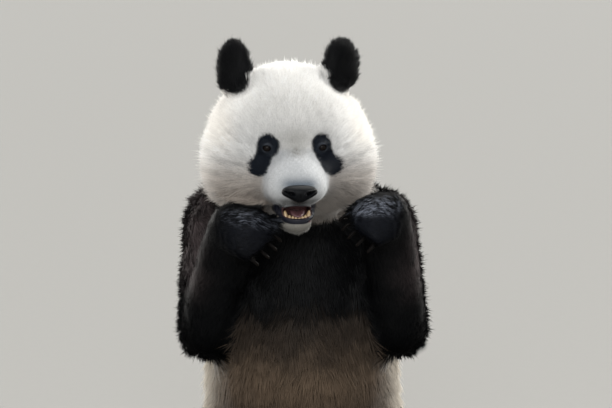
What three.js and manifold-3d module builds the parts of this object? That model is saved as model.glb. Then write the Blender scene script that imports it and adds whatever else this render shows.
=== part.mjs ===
// A giant panda, life size, sitting upright on its rump with both forepaws raised beside its mouth.
// Millimetres, +Z up, the face towards -Y. "left" and "right" are the animal's own: its left is +X.
// Each solid gives the outer form of the coat, and the solids meet across thin cuts.
import * as THREE from "three";
import { mergeVertices } from "three/addons/utils/BufferGeometryUtils.js";
import Module from "manifold-3d";

const wasm = await Module();
wasm.setup();

const at = (x, y, z) => new THREE.Vector3(x, y, z);
const degrees = THREE.MathUtils.degToRad;

// ---- Driving sizes ----
const CUT = 0.4; // width of a parting cut
const FAR = 3000; // longer than the animal, for cutting blocks
const REACH = 420; // no part's surface lies further than this from its own spine

const TRUNK_BOTTOM = at(0, 75, 165);
const TRUNK_TOP = at(0, 25, 545);
const NECK_ROOT = at(0, 35, 600);
const NECK_WAY = at(0, -0.2, 0.98).normalize(); // square to the cut between trunk and neck
const NAPE = at(-15, -5, 660);
const NAPE_WAY = at(-0.05, -0.9, 0.43).normalize(); // square to the cut between neck and head

const HEAD_AT = at(-28, -95, 703);
const HEAD_YAW = degrees(7); // the face looks a little to its own left
const CRANIUM_AT = at(2, 22, 44);
const CRANIUM_RADII = at(161, 138, 156);
const CHEEK_AT = at(72, -10, -14);
const CHEEK_RADII = at(100, 108, 110);
const EYE_RADIUS = 12.5;
const EYE_AT = at(53.5, -106, 38);
const LIDS_AT = at(53.5, -120, 37);
const NOSE_AT = at(0, -199, -34);
const NOSE_RADII = at(35, 23, 20);
const EAR_AT = at(107, 16, 189);
const EAR_ASIDE = 1.8;
const EAR_RADII = at(43, 20, 51);
const EAR_OPENING = 4;
const EAR_FOOT = at(112, 12, 160);
const EAR_FOOT_RADII = at(34, 18, 29);
const JAW_TIP = at(0, -150, -110);
const TOOTH_PITCH = 5.6;

const ELBOW_RADIUS = 66;
const WRIST_RADIUS = 55;
const ARMS = {
  left: {
    shoulder: at(152, 28, 548),
    elbow: at(193, -95, 362),
    wrist: at(169, -218, 608),
    toes: at(108, -286, 596),
  },
  right: {
    shoulder: at(-160, 22, 560),
    elbow: at(-190, -95, 358),
    wrist: at(-142, -218, 582),
    toes: at(-68, -288, 572),
  },
};
const HIP = at(142, 45, 100);
const KNEE = at(262, -150, 79);
const ANKLE = at(236, -352, 76);
const HEEL = at(240, -388, 42);
const BALL = at(252, -404, 122);
const TAIL_TIP = at(0, 292, 44);

// ---- Fields: how far a point lies outside a form, negative inside ----
const lobe = (centre, radii, turn = new THREE.Euler()) => {
  const back = new THREE.Matrix4().makeRotationFromEuler(turn).setPosition(centre).invert();
  return (point) => {
    const local = point.clone().applyMatrix4(back).divide(radii);
    const share = local.length();
    return (share * (share - 1)) / Math.max(local.divide(radii).length(), 1e-9);
  };
};

const bone = (start, end, startRadius, endRadius) => {
  const line = new THREE.Line3(start, end);
  return (point) => {
    const along = line.closestPointToPointParameter(point, true);
    const radius = THREE.MathUtils.lerp(startRadius, endRadius, along);
    return line.at(along, at(0, 0, 0)).distanceTo(point) - radius;
  };
};

const meet = (soft, a, b) => Math.min(a, b) - Math.max(soft - Math.abs(a - b), 0) ** 2 / (4 * soft);
const blend =
  (soft, ...fields) =>
  (point) =>
    fields.map((field) => field(point)).reduce((a, b) => meet(soft, a, b));
const hollow = (soft, field, scoop) => (point) => -meet(soft, -field(point), scoop(point));
const swell = (field, by) => (point) => field(point) - by;

// ---- Solids ----
/** A closed manifold solid from a geometry, with its shared vertices merged and its empty faces dropped. */
function solidOf(geometry) {
  const bare = new THREE.BufferGeometry().setAttribute("position", geometry.getAttribute("position").clone());
  const corners = bare.getAttribute("position").count;
  bare.setIndex(geometry.index ? geometry.index.clone() : [...Array(corners).keys()]);
  const merged = mergeVertices(bare, 1e-3);
  const faces = [];
  for (let i = 0; i < merged.index.count; i += 3) {
    const [a, b, c] = merged.index.array.subarray(i, i + 3);
    if (a !== b && b !== c && c !== a) faces.push(a, b, c);
  }
  const vertProperties = merged.getAttribute("position").array;
  return new wasm.Manifold(new wasm.Mesh({ numProp: 3, vertProperties, triVerts: new Uint32Array(faces) }));
}

function geometryOf(solid) {
  const mesh = solid.getMesh();
  return new THREE.BufferGeometry()
    .setAttribute("position", new THREE.BufferAttribute(mesh.vertProperties, 3))
    .setIndex(new THREE.BufferAttribute(mesh.triVerts, 1));
}

const largest = (solid) => solid.decompose().sort((a, b) => b.volume() - a.volume())[0];

/** The distance from root along way at which the field's surface is crossed. */
function surfaceFrom(root, way, field) {
  let inside = 0;
  let outside = 0;
  const point = at(0, 0, 0);
  const depth = (far) => field(point.copy(way).multiplyScalar(far).add(root));
  while (outside < REACH) {
    const here = depth(outside);
    if (here > 0) break;
    inside = outside;
    outside += Math.max(-here * 0.6, 1.5);
  }
  for (let turn = 0; turn < 14; turn++) {
    const middle = (inside + outside) / 2;
    if (depth(middle) > 0) outside = middle;
    else inside = middle;
  }
  return (inside + outside) / 2;
}

/** Moves each vertex of a geometry straight out from its own root until it lies on the field's surface. */
function wrap(geometry, rootOf, field) {
  const place = geometry.getAttribute("position");
  const point = at(0, 0, 0);
  for (let i = 0; i < place.count; i++) {
    point.fromBufferAttribute(place, i);
    const root = rootOf(point, i);
    const way = point.clone().sub(root).normalize();
    point.copy(way).multiplyScalar(surfaceFrom(root, way, field)).add(root);
    place.setXYZ(i, point.x, point.y, point.z);
  }
  return solidOf(geometry);
}

/** A part grown round the line from start to end, with sectors round it and rows along it. */
function limb(start, end, field, sectors, rows, caps = 5) {
  const line = new THREE.Line3(start, end);
  const way = line.delta(at(0, 0, 0)).normalize();
  const sleeve = new THREE.CapsuleGeometry(20, line.distance(), caps, sectors, rows)
    .applyQuaternion(new THREE.Quaternion().setFromUnitVectors(at(0, 1, 0), way))
    .translate(...line.getCenter(at(0, 0, 0)));
  return wrap(sleeve, (point) => line.closestPointToPoint(point, true, at(0, 0, 0)), field);
}

/** A closed block that fills the side of a plane that its normal points to. */
function beyond(point, normal) {
  const block = new THREE.BoxGeometry(FAR, FAR, FAR).translate(0, 0, FAR / 2);
  block.applyQuaternion(new THREE.Quaternion().setFromUnitVectors(at(0, 0, 1), normal.clone().normalize()));
  return solidOf(block.translate(point.x, point.y, point.z));
}

/** The plane that halves a joint: its normal points from the first bone's side to the second's. */
function halving(from, joint, to) {
  return to.clone().sub(joint).normalize().sub(from.clone().sub(joint).normalize()).normalize();
}

const floor = beyond(at(0, 0, 0), at(0, 0, -1));
const before = (solid, joint, normal, grow = 0) =>
  solid.subtract(beyond(joint.clone().addScaledVector(normal, grow - CUT / 2), normal));
const after = (solid, joint, normal, grow = 0) => before(solid, joint, normal.clone().negate(), grow);

/** Builds a form twice: as it is, and larger by one cut, for carving its neighbours. */
function both(make) {
  return { solid: make(0), carver: make(CUT) };
}
const carved = (solid, ...neighbours) =>
  largest(neighbours.reduce((left, neighbour) => left.subtract(neighbour.carver), solid));

// ---- Finishes ----
const finish = (color, roughness) => new THREE.MeshStandardMaterial({ color, roughness, metalness: 0 });
const WHITE_COAT = finish(0xe6e1d8, 0.85);
const BLACK_COAT = finish(0x1a1b1f, 0.8);
const BELLY_COAT = finish(0x9a8674, 0.9);
const EYE_BROWN = finish(0x1c130e, 0.1);
const NOSE_LEATHER = finish(0x202226, 0.45);
const CLAW_HORN = finish(0x5b5148, 0.4);
const TONGUE_PINK = finish(0x8c4f52, 0.4);

const animal = new THREE.Group();

function add(group, name, solid, material) {
  const mesh = new THREE.Mesh(geometryOf(solid), material);
  mesh.name = name;
  group.add(mesh);
}

// ---- Trunk: rump and belly low and wide, chest and shoulders narrower, the back in one long curve ----
const trunkField = blend(
  80,
  lobe(at(0, 88, 158), at(206, 200, 176)),
  lobe(at(0, 20, 275), at(208, 222, 222)),
  lobe(at(0, 42, 440), at(188, 194, 200)),
  lobe(at(-10, 58, 575), at(180, 128, 104)),
);
const trunk = both((grow) => {
  const whole = limb(TRUNK_BOTTOM, TRUNK_TOP, swell(trunkField, grow), 22, 8, 5);
  return before(whole, NECK_ROOT, NECK_WAY, grow).subtract(floor);
});

// ---- Head, in its own frame: its centre at the origin, the face towards -Y ----
const headFrame = new THREE.Matrix4().makeRotationZ(HEAD_YAW).setPosition(HEAD_AT);
const intoHead = (solid) => solid.transform(headFrame.clone().invert().elements);
const ontoBody = (part) => ({ carver: part.carver.transform(headFrame.elements) });
const mirrored = (place, side) => at(side * place.x, place.y, place.z);
const pair = (make) => [make(1), make(-1)];

const cheek = (side) => lobe(mirrored(CHEEK_AT, side), CHEEK_RADII);
const upperLip = (side) => lobe(at(side * 25, -156, -40), at(35, 50, 29));
const muzzle = blend(
  24,
  lobe(at(0, -132, -22), at(60, 78, 42)),
  bone(at(0, -85, 42), at(0, -172, -16), 39, 27),
  ...pair(upperLip),
);
const headField = blend(38, lobe(CRANIUM_AT, CRANIUM_RADII), ...pair(cheek), muzzle);

const HEAD_SECTORS = 32;
const HEAD_RINGS = 22;
const MUZZLE_ROOT = at(0, -150, -28);
const CRANIUM_ROOT = at(0, 18, 14);

/** How far back a ring of the head starts from, and the angle at which it leaves the muzzle's line. */
function ringOf(share) {
  const slide = THREE.MathUtils.smoothstep(share, 0.22, 0.66);
  const [front, middle, back] = [62, 70, 180].map(degrees);
  if (share < 0.24) return { slide, angle: (front * share) / 0.24 };
  if (share < 0.62) return { slide, angle: THREE.MathUtils.mapLinear(share, 0.24, 0.62, front, middle) };
  return { slide, angle: THREE.MathUtils.mapLinear(share, 0.62, 1, middle, back) };
}

/** The head's surface: rings that fan out from the muzzle's tip, sweep back and close behind. */
function headShell(field) {
  const ball = new THREE.SphereGeometry(1, HEAD_SECTORS, HEAD_RINGS);
  const place = ball.getAttribute("position");
  const upright = new THREE.Quaternion().setFromUnitVectors(at(0, 1, 0), at(0, -1, -0.12).normalize());
  const roots = [];
  for (let i = 0; i < place.count; i++) {
    const ring = Math.floor(i / (HEAD_SECTORS + 1));
    const turn = Math.atan2(place.getZ(i), -place.getX(i));
    const { slide, angle } = ringOf(ring / HEAD_RINGS);
    const pole = ring === 0 || ring === HEAD_RINGS;
    const way = at(0, pole ? Math.sign(place.getY(i)) : Math.cos(angle), 0);
    if (!pole) way.set(-Math.cos(turn) * Math.sin(angle), way.y, Math.sin(turn) * Math.sin(angle));
    roots.push(MUZZLE_ROOT.clone().lerp(CRANIUM_ROOT, slide));
    way.applyQuaternion(upright).add(roots[i]);
    place.setXYZ(i, way.x, way.y, way.z);
  }
  return wrap(ball, (_, i) => roots[i], field);
}

const eyeball = (side, radius) =>
  solidOf(new THREE.SphereGeometry(radius, 10, 6).translate(...mirrored(EYE_AT, side)));
const lidOpening = (side) =>
  solidOf(new THREE.SphereGeometry(1, 10, 4).scale(13, 22, 9.5).translate(...mirrored(LIDS_AT, side)));

const head = both((grow) => {
  const whole = headShell(swell(headField, grow)).transform(headFrame.elements);
  const cut = intoHead(after(after(whole, NAPE, NAPE_WAY, grow), NECK_ROOT, NECK_WAY, grow));
  return [1, -1].reduce((left, side) => left.subtract(eyeball(side, EYE_RADIUS + CUT)), cut);
});
head.solid = largest([1, -1].reduce((left, side) => left.subtract(lidOpening(side)), head.solid));

// ---- Neck: the short thick roll between the shoulders and the back of the head ----
const neckField = blend(
  40,
  bone(NECK_ROOT, at(-22, -45, 690), 148, 134),
  lobe(at(-16, -72, 596), at(118, 84, 70)),
);
const neck = both((grow) => {
  const whole = limb(NECK_ROOT, at(-22, -45, 690), swell(neckField, grow), 22, 3, 4);
  return before(after(whole, NECK_ROOT, NECK_WAY, grow), NAPE, NAPE_WAY, grow);
});

// ---- Lower jaw, hanging a little open, with its incisors and canines ----
const jawField = hollow(
  6,
  blend(
    20,
    bone(at(0, -58, -92), at(0, -140, -106), 44, 27),
    lobe(JAW_TIP, at(34, 31, 21)),
    ...pair((side) => bone(at(side * 30, -60, -92), at(side * 20, -148, -104), 24, 15)),
  ),
  lobe(at(0, -122, -80), at(21, 48, 15)),
);
const jaw = both((grow) => limb(at(0, -70, -100), at(0, -150, -110), swell(jawField, grow), 12, 3, 3));

/** One tooth: a tapered peg whose root lies in the jaw. */
function tooth(place, radius, height, depth) {
  const peg = new THREE.CylinderGeometry(radius * 0.45, radius, height, 6, 1).rotateX(Math.PI / 2);
  return solidOf(peg.scale(1, depth, 1).translate(place.x, place.y, place.z + height / 2));
}
const incisors = [-2.5, -1.5, -0.5, 0.5, 1.5, 2.5].map((step) =>
  tooth(at(step * TOOTH_PITCH, -168 + step * step * 0.7, -100), 3.1, 15, 0.8),
);
const canines = [1, -1].map((side) => tooth(at(side * 21, -160, -101), 5.4, 22, 1));
jaw.solid = carved(jaw.solid, head, ...[trunk, neck].map((part) => ({ carver: intoHead(part.carver) })));
jaw.solid = largest([...incisors, ...canines].reduce((left, peg) => left.add(peg), jaw.solid));
const tongueField = lobe(at(0, -122, -88), at(17, 40, 9));
const tongue = limb(at(0, -100, -88), at(0, -144, -88), tongueField, 7, 1, 2);

// ---- Nose leather, ears and eyes ----
const nostril = (side) => lobe(at(side * 15, -223, -38), at(8, 8, 5.5), new THREE.Euler(0, side * 0.5, 0));
const noseField = hollow(
  2,
  blend(10, lobe(NOSE_AT, NOSE_RADII), lobe(at(0, -204, -47), at(20, 17, 13))),
  blend(2, ...pair(nostril)),
);
const nose = limb(at(-8, -199, -34), at(8, -199, -34), noseField, 11, 2, 3);

const earAt = (side) => mirrored(EAR_AT, side).add(at(EAR_ASIDE, 0, 0));
// The left ear is opened wider to the front than the right one.
const earField = (side) => {
  const turn = new THREE.Euler(degrees(-6), side * degrees(3), side * degrees(35));
  const cup = lobe(earAt(side).add(at(side * 15, -22, -4)), at(27, 15, 38), turn);
  const foot = lobe(mirrored(EAR_FOOT, side), EAR_FOOT_RADII, turn);
  const radii = EAR_RADII.clone().add(at(side * EAR_OPENING, 0, 0));
  return hollow(8, blend(12, lobe(earAt(side), radii, turn), foot), cup);
};
const ear = (side) =>
  limb(
    earAt(side).add(at(0, 4, -26)),
    earAt(side).add(at(side * 3, 4, 26)),
    earField(side),
    12,
    2,
    3,
  );

const headGroup = new THREE.Group();
headGroup.position.copy(HEAD_AT);
headGroup.rotation.z = HEAD_YAW;
add(headGroup, "head", head.solid, WHITE_COAT);
add(headGroup, "lower_jaw", jaw.solid, WHITE_COAT);
add(headGroup, "tongue", carved(tongue, jaw, head), TONGUE_PINK);
add(headGroup, "nose", carved(nose, head), NOSE_LEATHER);
for (const [name, side] of [["left", 1], ["right", -1]]) {
  add(headGroup, `ear_${name}`, carved(ear(side), head), BLACK_COAT);
  add(headGroup, `eye_${name}`, eyeball(side, EYE_RADIUS), EYE_BROWN);
}

// ---- Paws ----
/** The frame of a paw: where it starts, the way its toes point, the way its back faces, and across. */
function pawFrame(root, toes, backHint) {
  const aim = toes.clone().sub(root).normalize();
  const back = backHint.clone().addScaledVector(aim, -backHint.dot(aim)).normalize();
  return { root, toes, aim, back, across: aim.clone().cross(back) };
}

/** The five toes of a paw as start and tip, the outer ones set back, the tips curled to the palm. */
function toesOf(frame, width, length) {
  return [-2, -1, 0, 1, 2].map((step) => {
    const setBack = -4 * step * step;
    const tip = frame.toes.clone().addScaledVector(frame.across, (step * width) / 4.6);
    tip.addScaledVector(frame.aim, setBack - 16).addScaledVector(frame.back, -10);
    const start = tip.clone().addScaledVector(frame.aim, -length).addScaledVector(frame.back, 14);
    return { start, tip };
  });
}

/** A palm with five rounded toes joined to it. */
function withToes(palm, toes, radius) {
  const grown = toes.map((toe) => {
    const form = bone(toe.start, toe.tip, radius, radius * 0.86);
    return limb(toe.start, toe.tip, form, 6, 1, 2);
  });
  return grown.reduce((left, toe) => left.add(toe), palm);
}

/** A claw that starts inside the toe and curves from its aim towards the palm. */
function claw(toe, frame, length, radius) {
  const bend = 1.0;
  const horn = new THREE.ConeGeometry(radius, length, 4, 2);
  const place = horn.getAttribute("position");
  const aim = toe.tip.clone().sub(toe.start).normalize();
  const curl = frame.back.clone().negate().addScaledVector(aim, aim.dot(frame.back)).normalize();
  const across = aim.clone().cross(curl);
  for (let i = 0; i < place.count; i++) {
    const angle = (place.getY(i) / length + 0.5) * bend;
    const out = curl.clone().multiplyScalar(-Math.cos(angle)).addScaledVector(aim, Math.sin(angle));
    const point = toe.tip.clone().addScaledVector(aim, 7);
    point.addScaledVector(curl, length / bend - 3).addScaledVector(out, length / bend + place.getZ(i));
    point.addScaledVector(across, place.getX(i) * 0.75);
    place.setXYZ(i, point.x, point.y, point.z);
  }
  const solid = solidOf(horn);
  if (solid.volume() > 0) return solid;
  horn.setIndex([...horn.index.array].reverse());
  return solidOf(horn);
}

function addClaws(group, name, around, toes, frame, length, radius) {
  toes.forEach((toe, step) =>
    add(group, `${name}_claw_${step + 1}`, carved(claw(toe, frame, length, radius), ...around), CLAW_HORN),
  );
}

// ---- Forelimbs: upper arm down the side, forearm raised in front, toes bent towards the mouth ----
for (const [name, arm] of Object.entries(ARMS)) {
  const group = new THREE.Group();
  const side = Math.sign(arm.shoulder.x);
  const frame = pawFrame(arm.wrist, arm.toes, at(side * 0.15, -0.75, 0.65));
  const toes = toesOf(frame, 100, 26);
  const palm = arm.wrist.clone().lerp(arm.toes, 0.42).addScaledVector(frame.back, 4);
  const upperField = bone(arm.shoulder, arm.elbow, 90, ELBOW_RADIUS + 2);
  const foreField = bone(arm.elbow, arm.wrist, ELBOW_RADIUS, WRIST_RADIUS);
  const knuckles = bone(toes[0].start, toes[4].start, 22, 22);
  const palmField = blend(20, bone(arm.wrist, palm, WRIST_RADIUS, 46), knuckles);
  const elbowPlane = halving(arm.shoulder, arm.elbow, arm.wrist);
  const wristPlane = halving(arm.elbow, arm.wrist, arm.toes);
  const upper = both((grow) =>
    before(limb(arm.shoulder, arm.elbow, swell(upperField, grow), 14, 3, 4), arm.elbow, elbowPlane, grow),
  );
  const fore = both((grow) => {
    const whole = limb(arm.elbow, arm.wrist, swell(foreField, grow), 14, 3, 3);
    return before(after(whole, arm.elbow, elbowPlane, grow), arm.wrist, wristPlane, grow);
  });
  const paw = both((grow) => {
    const whole = limb(arm.wrist, palm, swell(palmField, grow), 13, 2, 3);
    return after(withToes(whole, toes, 19 + grow), arm.wrist, wristPlane, grow);
  });
  const around = [trunk, ontoBody(head), ontoBody(jaw), neck];
  add(group, `upper_arm_${name}`, carved(upper.solid, ...around), BLACK_COAT);
  add(group, `forearm_${name}`, carved(fore.solid, ...around), BLACK_COAT);
  add(group, `forepaw_${name}`, carved(paw.solid, ...around, upper), BLACK_COAT);
  addClaws(group, `forepaw_${name}`, [paw, ...around], toes, frame, 34, 6);
  animal.add(group);
}

// ---- Hind limbs: thighs spread on the floor, shins forward, feet upright on their heels ----
for (const [name, side] of [["left", 1], ["right", -1]]) {
  const group = new THREE.Group();
  const [hip, knee, ankle, heel, ball] = [HIP, KNEE, ANKLE, HEEL, BALL].map((place) => mirrored(place, side));
  const tips = ball.clone().add(at(side * 8, -4, 72));
  const frame = pawFrame(heel, tips, at(-side * 0.15, 1, 0.2));
  const toes = toesOf(frame, 92, 24);
  const thighField = bone(hip, knee, 106, 84);
  const shinField = bone(knee, ankle, 84, 60);
  const footField = blend(
    22,
    bone(heel, ball, 46, 40),
    lobe(heel.clone().lerp(ball, 0.5), at(52, 38, 82)),
    bone(toes[0].start, toes[4].start, 19, 19),
    shinField,
  );
  const kneePlane = halving(hip, knee, ankle);
  const anklePlane = at(0, -1, 0.25).normalize();
  const thigh = both((grow) => {
    const whole = limb(hip, knee, swell(thighField, grow), 14, 3, 4);
    return before(whole, knee, kneePlane, grow).subtract(floor);
  });
  const shin = both((grow) => {
    const whole = limb(knee, ankle, swell(shinField, grow), 14, 3, 3);
    return before(after(whole, knee, kneePlane, grow), ankle, anklePlane, grow).subtract(floor);
  });
  const foot = both((grow) => {
    const whole = withToes(limb(heel, ball, swell(footField, grow), 12, 3, 3), toes, 18 + grow);
    return after(whole, ankle, anklePlane, grow).subtract(floor);
  });
  add(group, `thigh_${name}`, carved(thigh.solid, trunk), BLACK_COAT);
  add(group, `shin_${name}`, carved(shin.solid, trunk), BLACK_COAT);
  add(group, `hind_foot_${name}`, foot.solid, BLACK_COAT);
  addClaws(group, `hind_foot_${name}`, [foot], toes, frame, 30, 5.5);
  animal.add(group);
}

// ---- Tail: a short broad tuft behind the rump ----
const tailField = bone(at(0, 240, 92), TAIL_TIP, 54, 40);
const tail = limb(at(0, 240, 92), TAIL_TIP, tailField, 10, 2, 3).subtract(floor);

add(animal, "trunk", trunk.solid, BELLY_COAT);
add(animal, "neck", neck.solid, WHITE_COAT);
add(animal, "tail", carved(tail, trunk), WHITE_COAT);
animal.add(headGroup);

// The part's origin is the middle of its outline, on the floor.
const outline = new THREE.Box3().setFromObject(animal);
const middle = outline.getCenter(at(0, 0, 0));
animal.position.set(-middle.x, -middle.y, -outline.min.z);

const panda = new THREE.Group();
panda.add(animal);

export default panda;
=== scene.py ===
"""Skin, coat and fittings of a sitting giant panda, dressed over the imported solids.

The animal is one still body. One skin is drawn in from the solids by the depth of the
coat, the face is modelled on that skin, and tufts of hair are grown from it back out to
the outline of the solids. Lengths are in metres unless a name ends in _mm.
"""

import logging
import math
from collections.abc import Iterable
from dataclasses import dataclass, field
from enum import Enum

import bmesh
import bpy
import numpy as np
from mathutils import Matrix, Vector
from mathutils.bvhtree import BVHTree


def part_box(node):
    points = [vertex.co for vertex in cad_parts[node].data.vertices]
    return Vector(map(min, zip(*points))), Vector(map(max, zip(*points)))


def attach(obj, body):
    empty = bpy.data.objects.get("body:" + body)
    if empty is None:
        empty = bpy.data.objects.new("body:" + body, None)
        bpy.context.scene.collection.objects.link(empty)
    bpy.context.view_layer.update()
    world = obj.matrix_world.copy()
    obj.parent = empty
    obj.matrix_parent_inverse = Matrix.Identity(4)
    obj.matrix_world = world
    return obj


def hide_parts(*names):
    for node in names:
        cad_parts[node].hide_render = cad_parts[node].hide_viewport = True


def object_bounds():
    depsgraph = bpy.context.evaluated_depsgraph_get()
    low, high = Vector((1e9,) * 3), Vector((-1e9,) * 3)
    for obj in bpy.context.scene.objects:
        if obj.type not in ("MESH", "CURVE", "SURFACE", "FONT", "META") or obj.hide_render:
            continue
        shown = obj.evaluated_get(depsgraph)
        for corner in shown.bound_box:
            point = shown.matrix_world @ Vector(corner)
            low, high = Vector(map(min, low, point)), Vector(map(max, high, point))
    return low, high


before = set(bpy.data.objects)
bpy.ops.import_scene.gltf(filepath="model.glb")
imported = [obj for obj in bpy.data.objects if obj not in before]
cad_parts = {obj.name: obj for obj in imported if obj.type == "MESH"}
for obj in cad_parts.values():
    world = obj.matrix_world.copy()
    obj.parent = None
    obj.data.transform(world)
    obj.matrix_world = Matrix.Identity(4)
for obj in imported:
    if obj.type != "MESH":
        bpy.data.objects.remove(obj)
CAD_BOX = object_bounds()

Array = np.ndarray
Tree = bpy.types.NodeTree
Socket = bpy.types.NodeSocket
Material = bpy.types.Material
Mesh = bpy.types.Mesh
BMesh = bmesh.types.BMesh

MM = 0.001
BODY = "root"
SIDES = ("left", "right")
LIMBS = ("upper_arm", "forearm", "forepaw", "thigh", "shin", "hind_foot")
FLESH = ["head", "lower_jaw", "neck", "trunk", "tail", "ear_left", "ear_right"]
FLESH += [f"{limb}_{side}" for limb in LIMBS for side in SIDES]
HEAD_PARTS = ("head", "lower_jaw")
EARS = ("ear_left", "ear_right")
log = logging.getLogger("panda")


# ---------------------------------------------------------------- small helpers


def linear(code: str) -> tuple[float, float, float]:
    """Turns an sRGB hex colour such as "#8a7f70" into linear light.

    Args:
        code: The colour, with its leading hash.

    Returns:
        Red, green and blue from 0 to 1.
    """
    parts = [int(code[i : i + 2], 16) / 255 for i in (1, 3, 5)]
    return tuple(p / 12.92 if p <= 0.04045 else ((p + 0.055) / 1.055) ** 2.4 for p in parts)


def rise(low: float, high: float, value: Array) -> Array:
    """A soft step from 0 at low to 1 at high, either way round."""
    share = np.clip((value - low) / (high - low), 0.0, 1.0)
    return share * share * (3 - 2 * share)


def mix(a: Array, b: Array, share: Array) -> Array:
    """Blends rows of a towards b by a share for each row."""
    share = np.asarray(share)[..., None]
    return a * (1 - share) + np.asarray(b) * share


def unit(rows: Array) -> Array:
    """Each row at length 1."""
    return rows / np.maximum(np.linalg.norm(rows, axis=-1, keepdims=True), 1e-9)


def tangent(rows: Array, normals: Array) -> Array:
    """Each row laid flat on the surface with that normal, at length 1."""
    return unit(rows - normals * np.sum(rows * normals, axis=1, keepdims=True))


def smooth(bm: BMesh, verts: list, factor: float, rounds: int) -> None:
    """Evens out the vertices of a bmesh, a few times over.

    Args:
        bm: The mesh.
        verts: The vertices.
        factor: How far each moves, from 0 to 1.
        rounds: How many times.
    """
    axes = {f"use_axis_{axis}": True for axis in "xyz"}
    for _ in range(rounds):
        bmesh.ops.smooth_vert(bm, verts=verts, factor=factor, **axes)


def middle(node: str) -> Array:
    """The centre of a solid's box."""
    low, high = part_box(node)
    return np.array((low + high) / 2)


def meeting(first: str, second: str) -> Array:
    """The centre of the space that two neighbouring solids' boxes share.

    Args:
        first: One solid.
        second: The other.

    Returns:
        The centre.
    """
    (low_a, high_a), (low_b, high_b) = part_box(first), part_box(second)
    low = np.maximum(np.array(low_a), np.array(low_b))
    high = np.minimum(np.array(high_a), np.array(high_b))
    return (low + high) / 2


def owned(owner: Array, names: Iterable[str]) -> Array:
    """Which places have one of the named solids as their owner, by its number in FLESH."""
    return np.isin(owner, [FLESH.index(name) for name in names])


def add(tree: Tree, kind: str, inputs: dict | None = None, **settings) -> bpy.types.Node:
    """Adds one node to a tree, with its settings and links.

    Args:
        tree: The node tree.
        kind: The node's type name.
        inputs: Socket name or number to a value or to another node's output.
        **settings: The node's own properties.

    Returns:
        The new node.
    """
    made = tree.nodes.new(kind)
    for key, value in settings.items():
        setattr(made, key, value)
    fill(tree, made, inputs or {})
    return made


def fill(tree: Tree, node: bpy.types.Node, inputs: dict) -> None:
    """Sets a node's inputs, each to a value or to another node's output.

    Args:
        tree: The node tree.
        node: The node.
        inputs: Socket name or number to a value or to another node's output.
    """
    for key, value in inputs.items():
        if isinstance(value, Socket):
            tree.links.new(value, node.inputs[key])
        else:
            node.inputs[key].default_value = value


def finish_piece(name: str, mesh: Mesh, material: Material, slot: str, *replaced: str) -> None:
    """Makes a finished piece that rides on the body, and hides the solids that it stands for.

    Args:
        name: The piece's name.
        mesh: Its mesh, in place.
        material: Its material.
        slot: The record's material slot; not used.
        *replaced: The solids that the piece stands for.
    """
    piece = link_mesh(name, mesh, material)
    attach(piece, BODY)
    if replaced:
        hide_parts(*replaced)
    log.info("%s: %d faces", piece.name, len(piece.data.polygons))


def paint_values(mesh: Mesh, name: str, values: Array) -> None:
    """Writes one number for each vertex as an attribute of the mesh."""
    mesh.attributes.new(name, "FLOAT", "POINT").data.foreach_set("value", np.array(values, np.float32))


def paint_colours(mesh: Mesh, rows: Array) -> None:
    """Writes the coat's colour at each vertex, with its alpha, as an attribute of the mesh."""
    mesh.color_attributes.new("coat", "FLOAT_COLOR", "POINT").data.foreach_set("color", rows.ravel())


def link_mesh(name: str, mesh: Mesh, material: Material | None) -> bpy.types.Object:
    """Puts a mesh in the scene as an object at the origin.

    Args:
        name: The object's name.
        mesh: The mesh.
        material: Its material, if it has one.

    Returns:
        The object.
    """
    made = bpy.data.objects.new(name, mesh)
    bpy.context.scene.collection.objects.link(made)
    if material:
        mesh.materials.clear()
        mesh.materials.append(material)
    return made


def mesh_of(name: str, bm: BMesh) -> Mesh:
    """Turns a bmesh into a smooth-shaded mesh and frees it.

    Args:
        name: The mesh's name.
        bm: The bmesh.

    Returns:
        The mesh.
    """
    mesh = bpy.data.meshes.new(name)
    for face in bm.faces:
        face.smooth = True
    bm.to_mesh(mesh)
    bm.free()
    return mesh


def read(rows: bpy.types.bpy_prop_collection, name: str, wide: int, kind: type) -> Array:
    """Reads one value of every vertex, edge or corner, in rows so many numbers wide.

    Args:
        rows: The vertices, edges or corners.
        name: The value's name.
        wide: How many numbers a row has.
        kind: Their type.

    Returns:
        The rows.
    """
    flat = np.empty(len(rows) * wide, kind)
    rows.foreach_get(name, flat)
    return flat.reshape(-1, wide)


def points_of(mesh: Mesh) -> Array:
    """A mesh's vertex places as rows."""
    return read(mesh.vertices, "co", 3, float)


def normals_of(mesh: Mesh) -> Array:
    """A mesh's vertex normals as rows."""
    return read(mesh.vertex_normals, "vector", 3, np.float32).astype(float)


def place_points(mesh: Mesh, rows: Array) -> None:
    """Writes vertex places back to a mesh."""
    mesh.vertices.foreach_set("co", rows.astype(np.float32).ravel())
    mesh.update()


def relax(values: Array, edges: Array, rounds: int, pull: float = 0.5) -> Array:
    """Evens out values over a mesh by drawing each towards its neighbours' mean.

    Args:
        values: One number or one row for each vertex.
        edges: The mesh's edges.
        rounds: How many times it is done.
        pull: How far towards the mean, from 0 to 1.

    Returns:
        The evened values, in the same shape.
    """
    rows = values.reshape(len(values), -1).astype(float)
    size = len(rows)
    first, second = edges.T
    near = np.maximum(np.bincount(edges.ravel(), minlength=size), 1)[:, None]
    for _ in range(rounds):
        total = [
            np.bincount(first, column[second], size) + np.bincount(second, column[first], size)
            for column in rows.T
        ]
        rows = rows * (1 - pull) + np.stack(total, axis=1) / near * pull
    return rows.reshape(values.shape)


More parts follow.
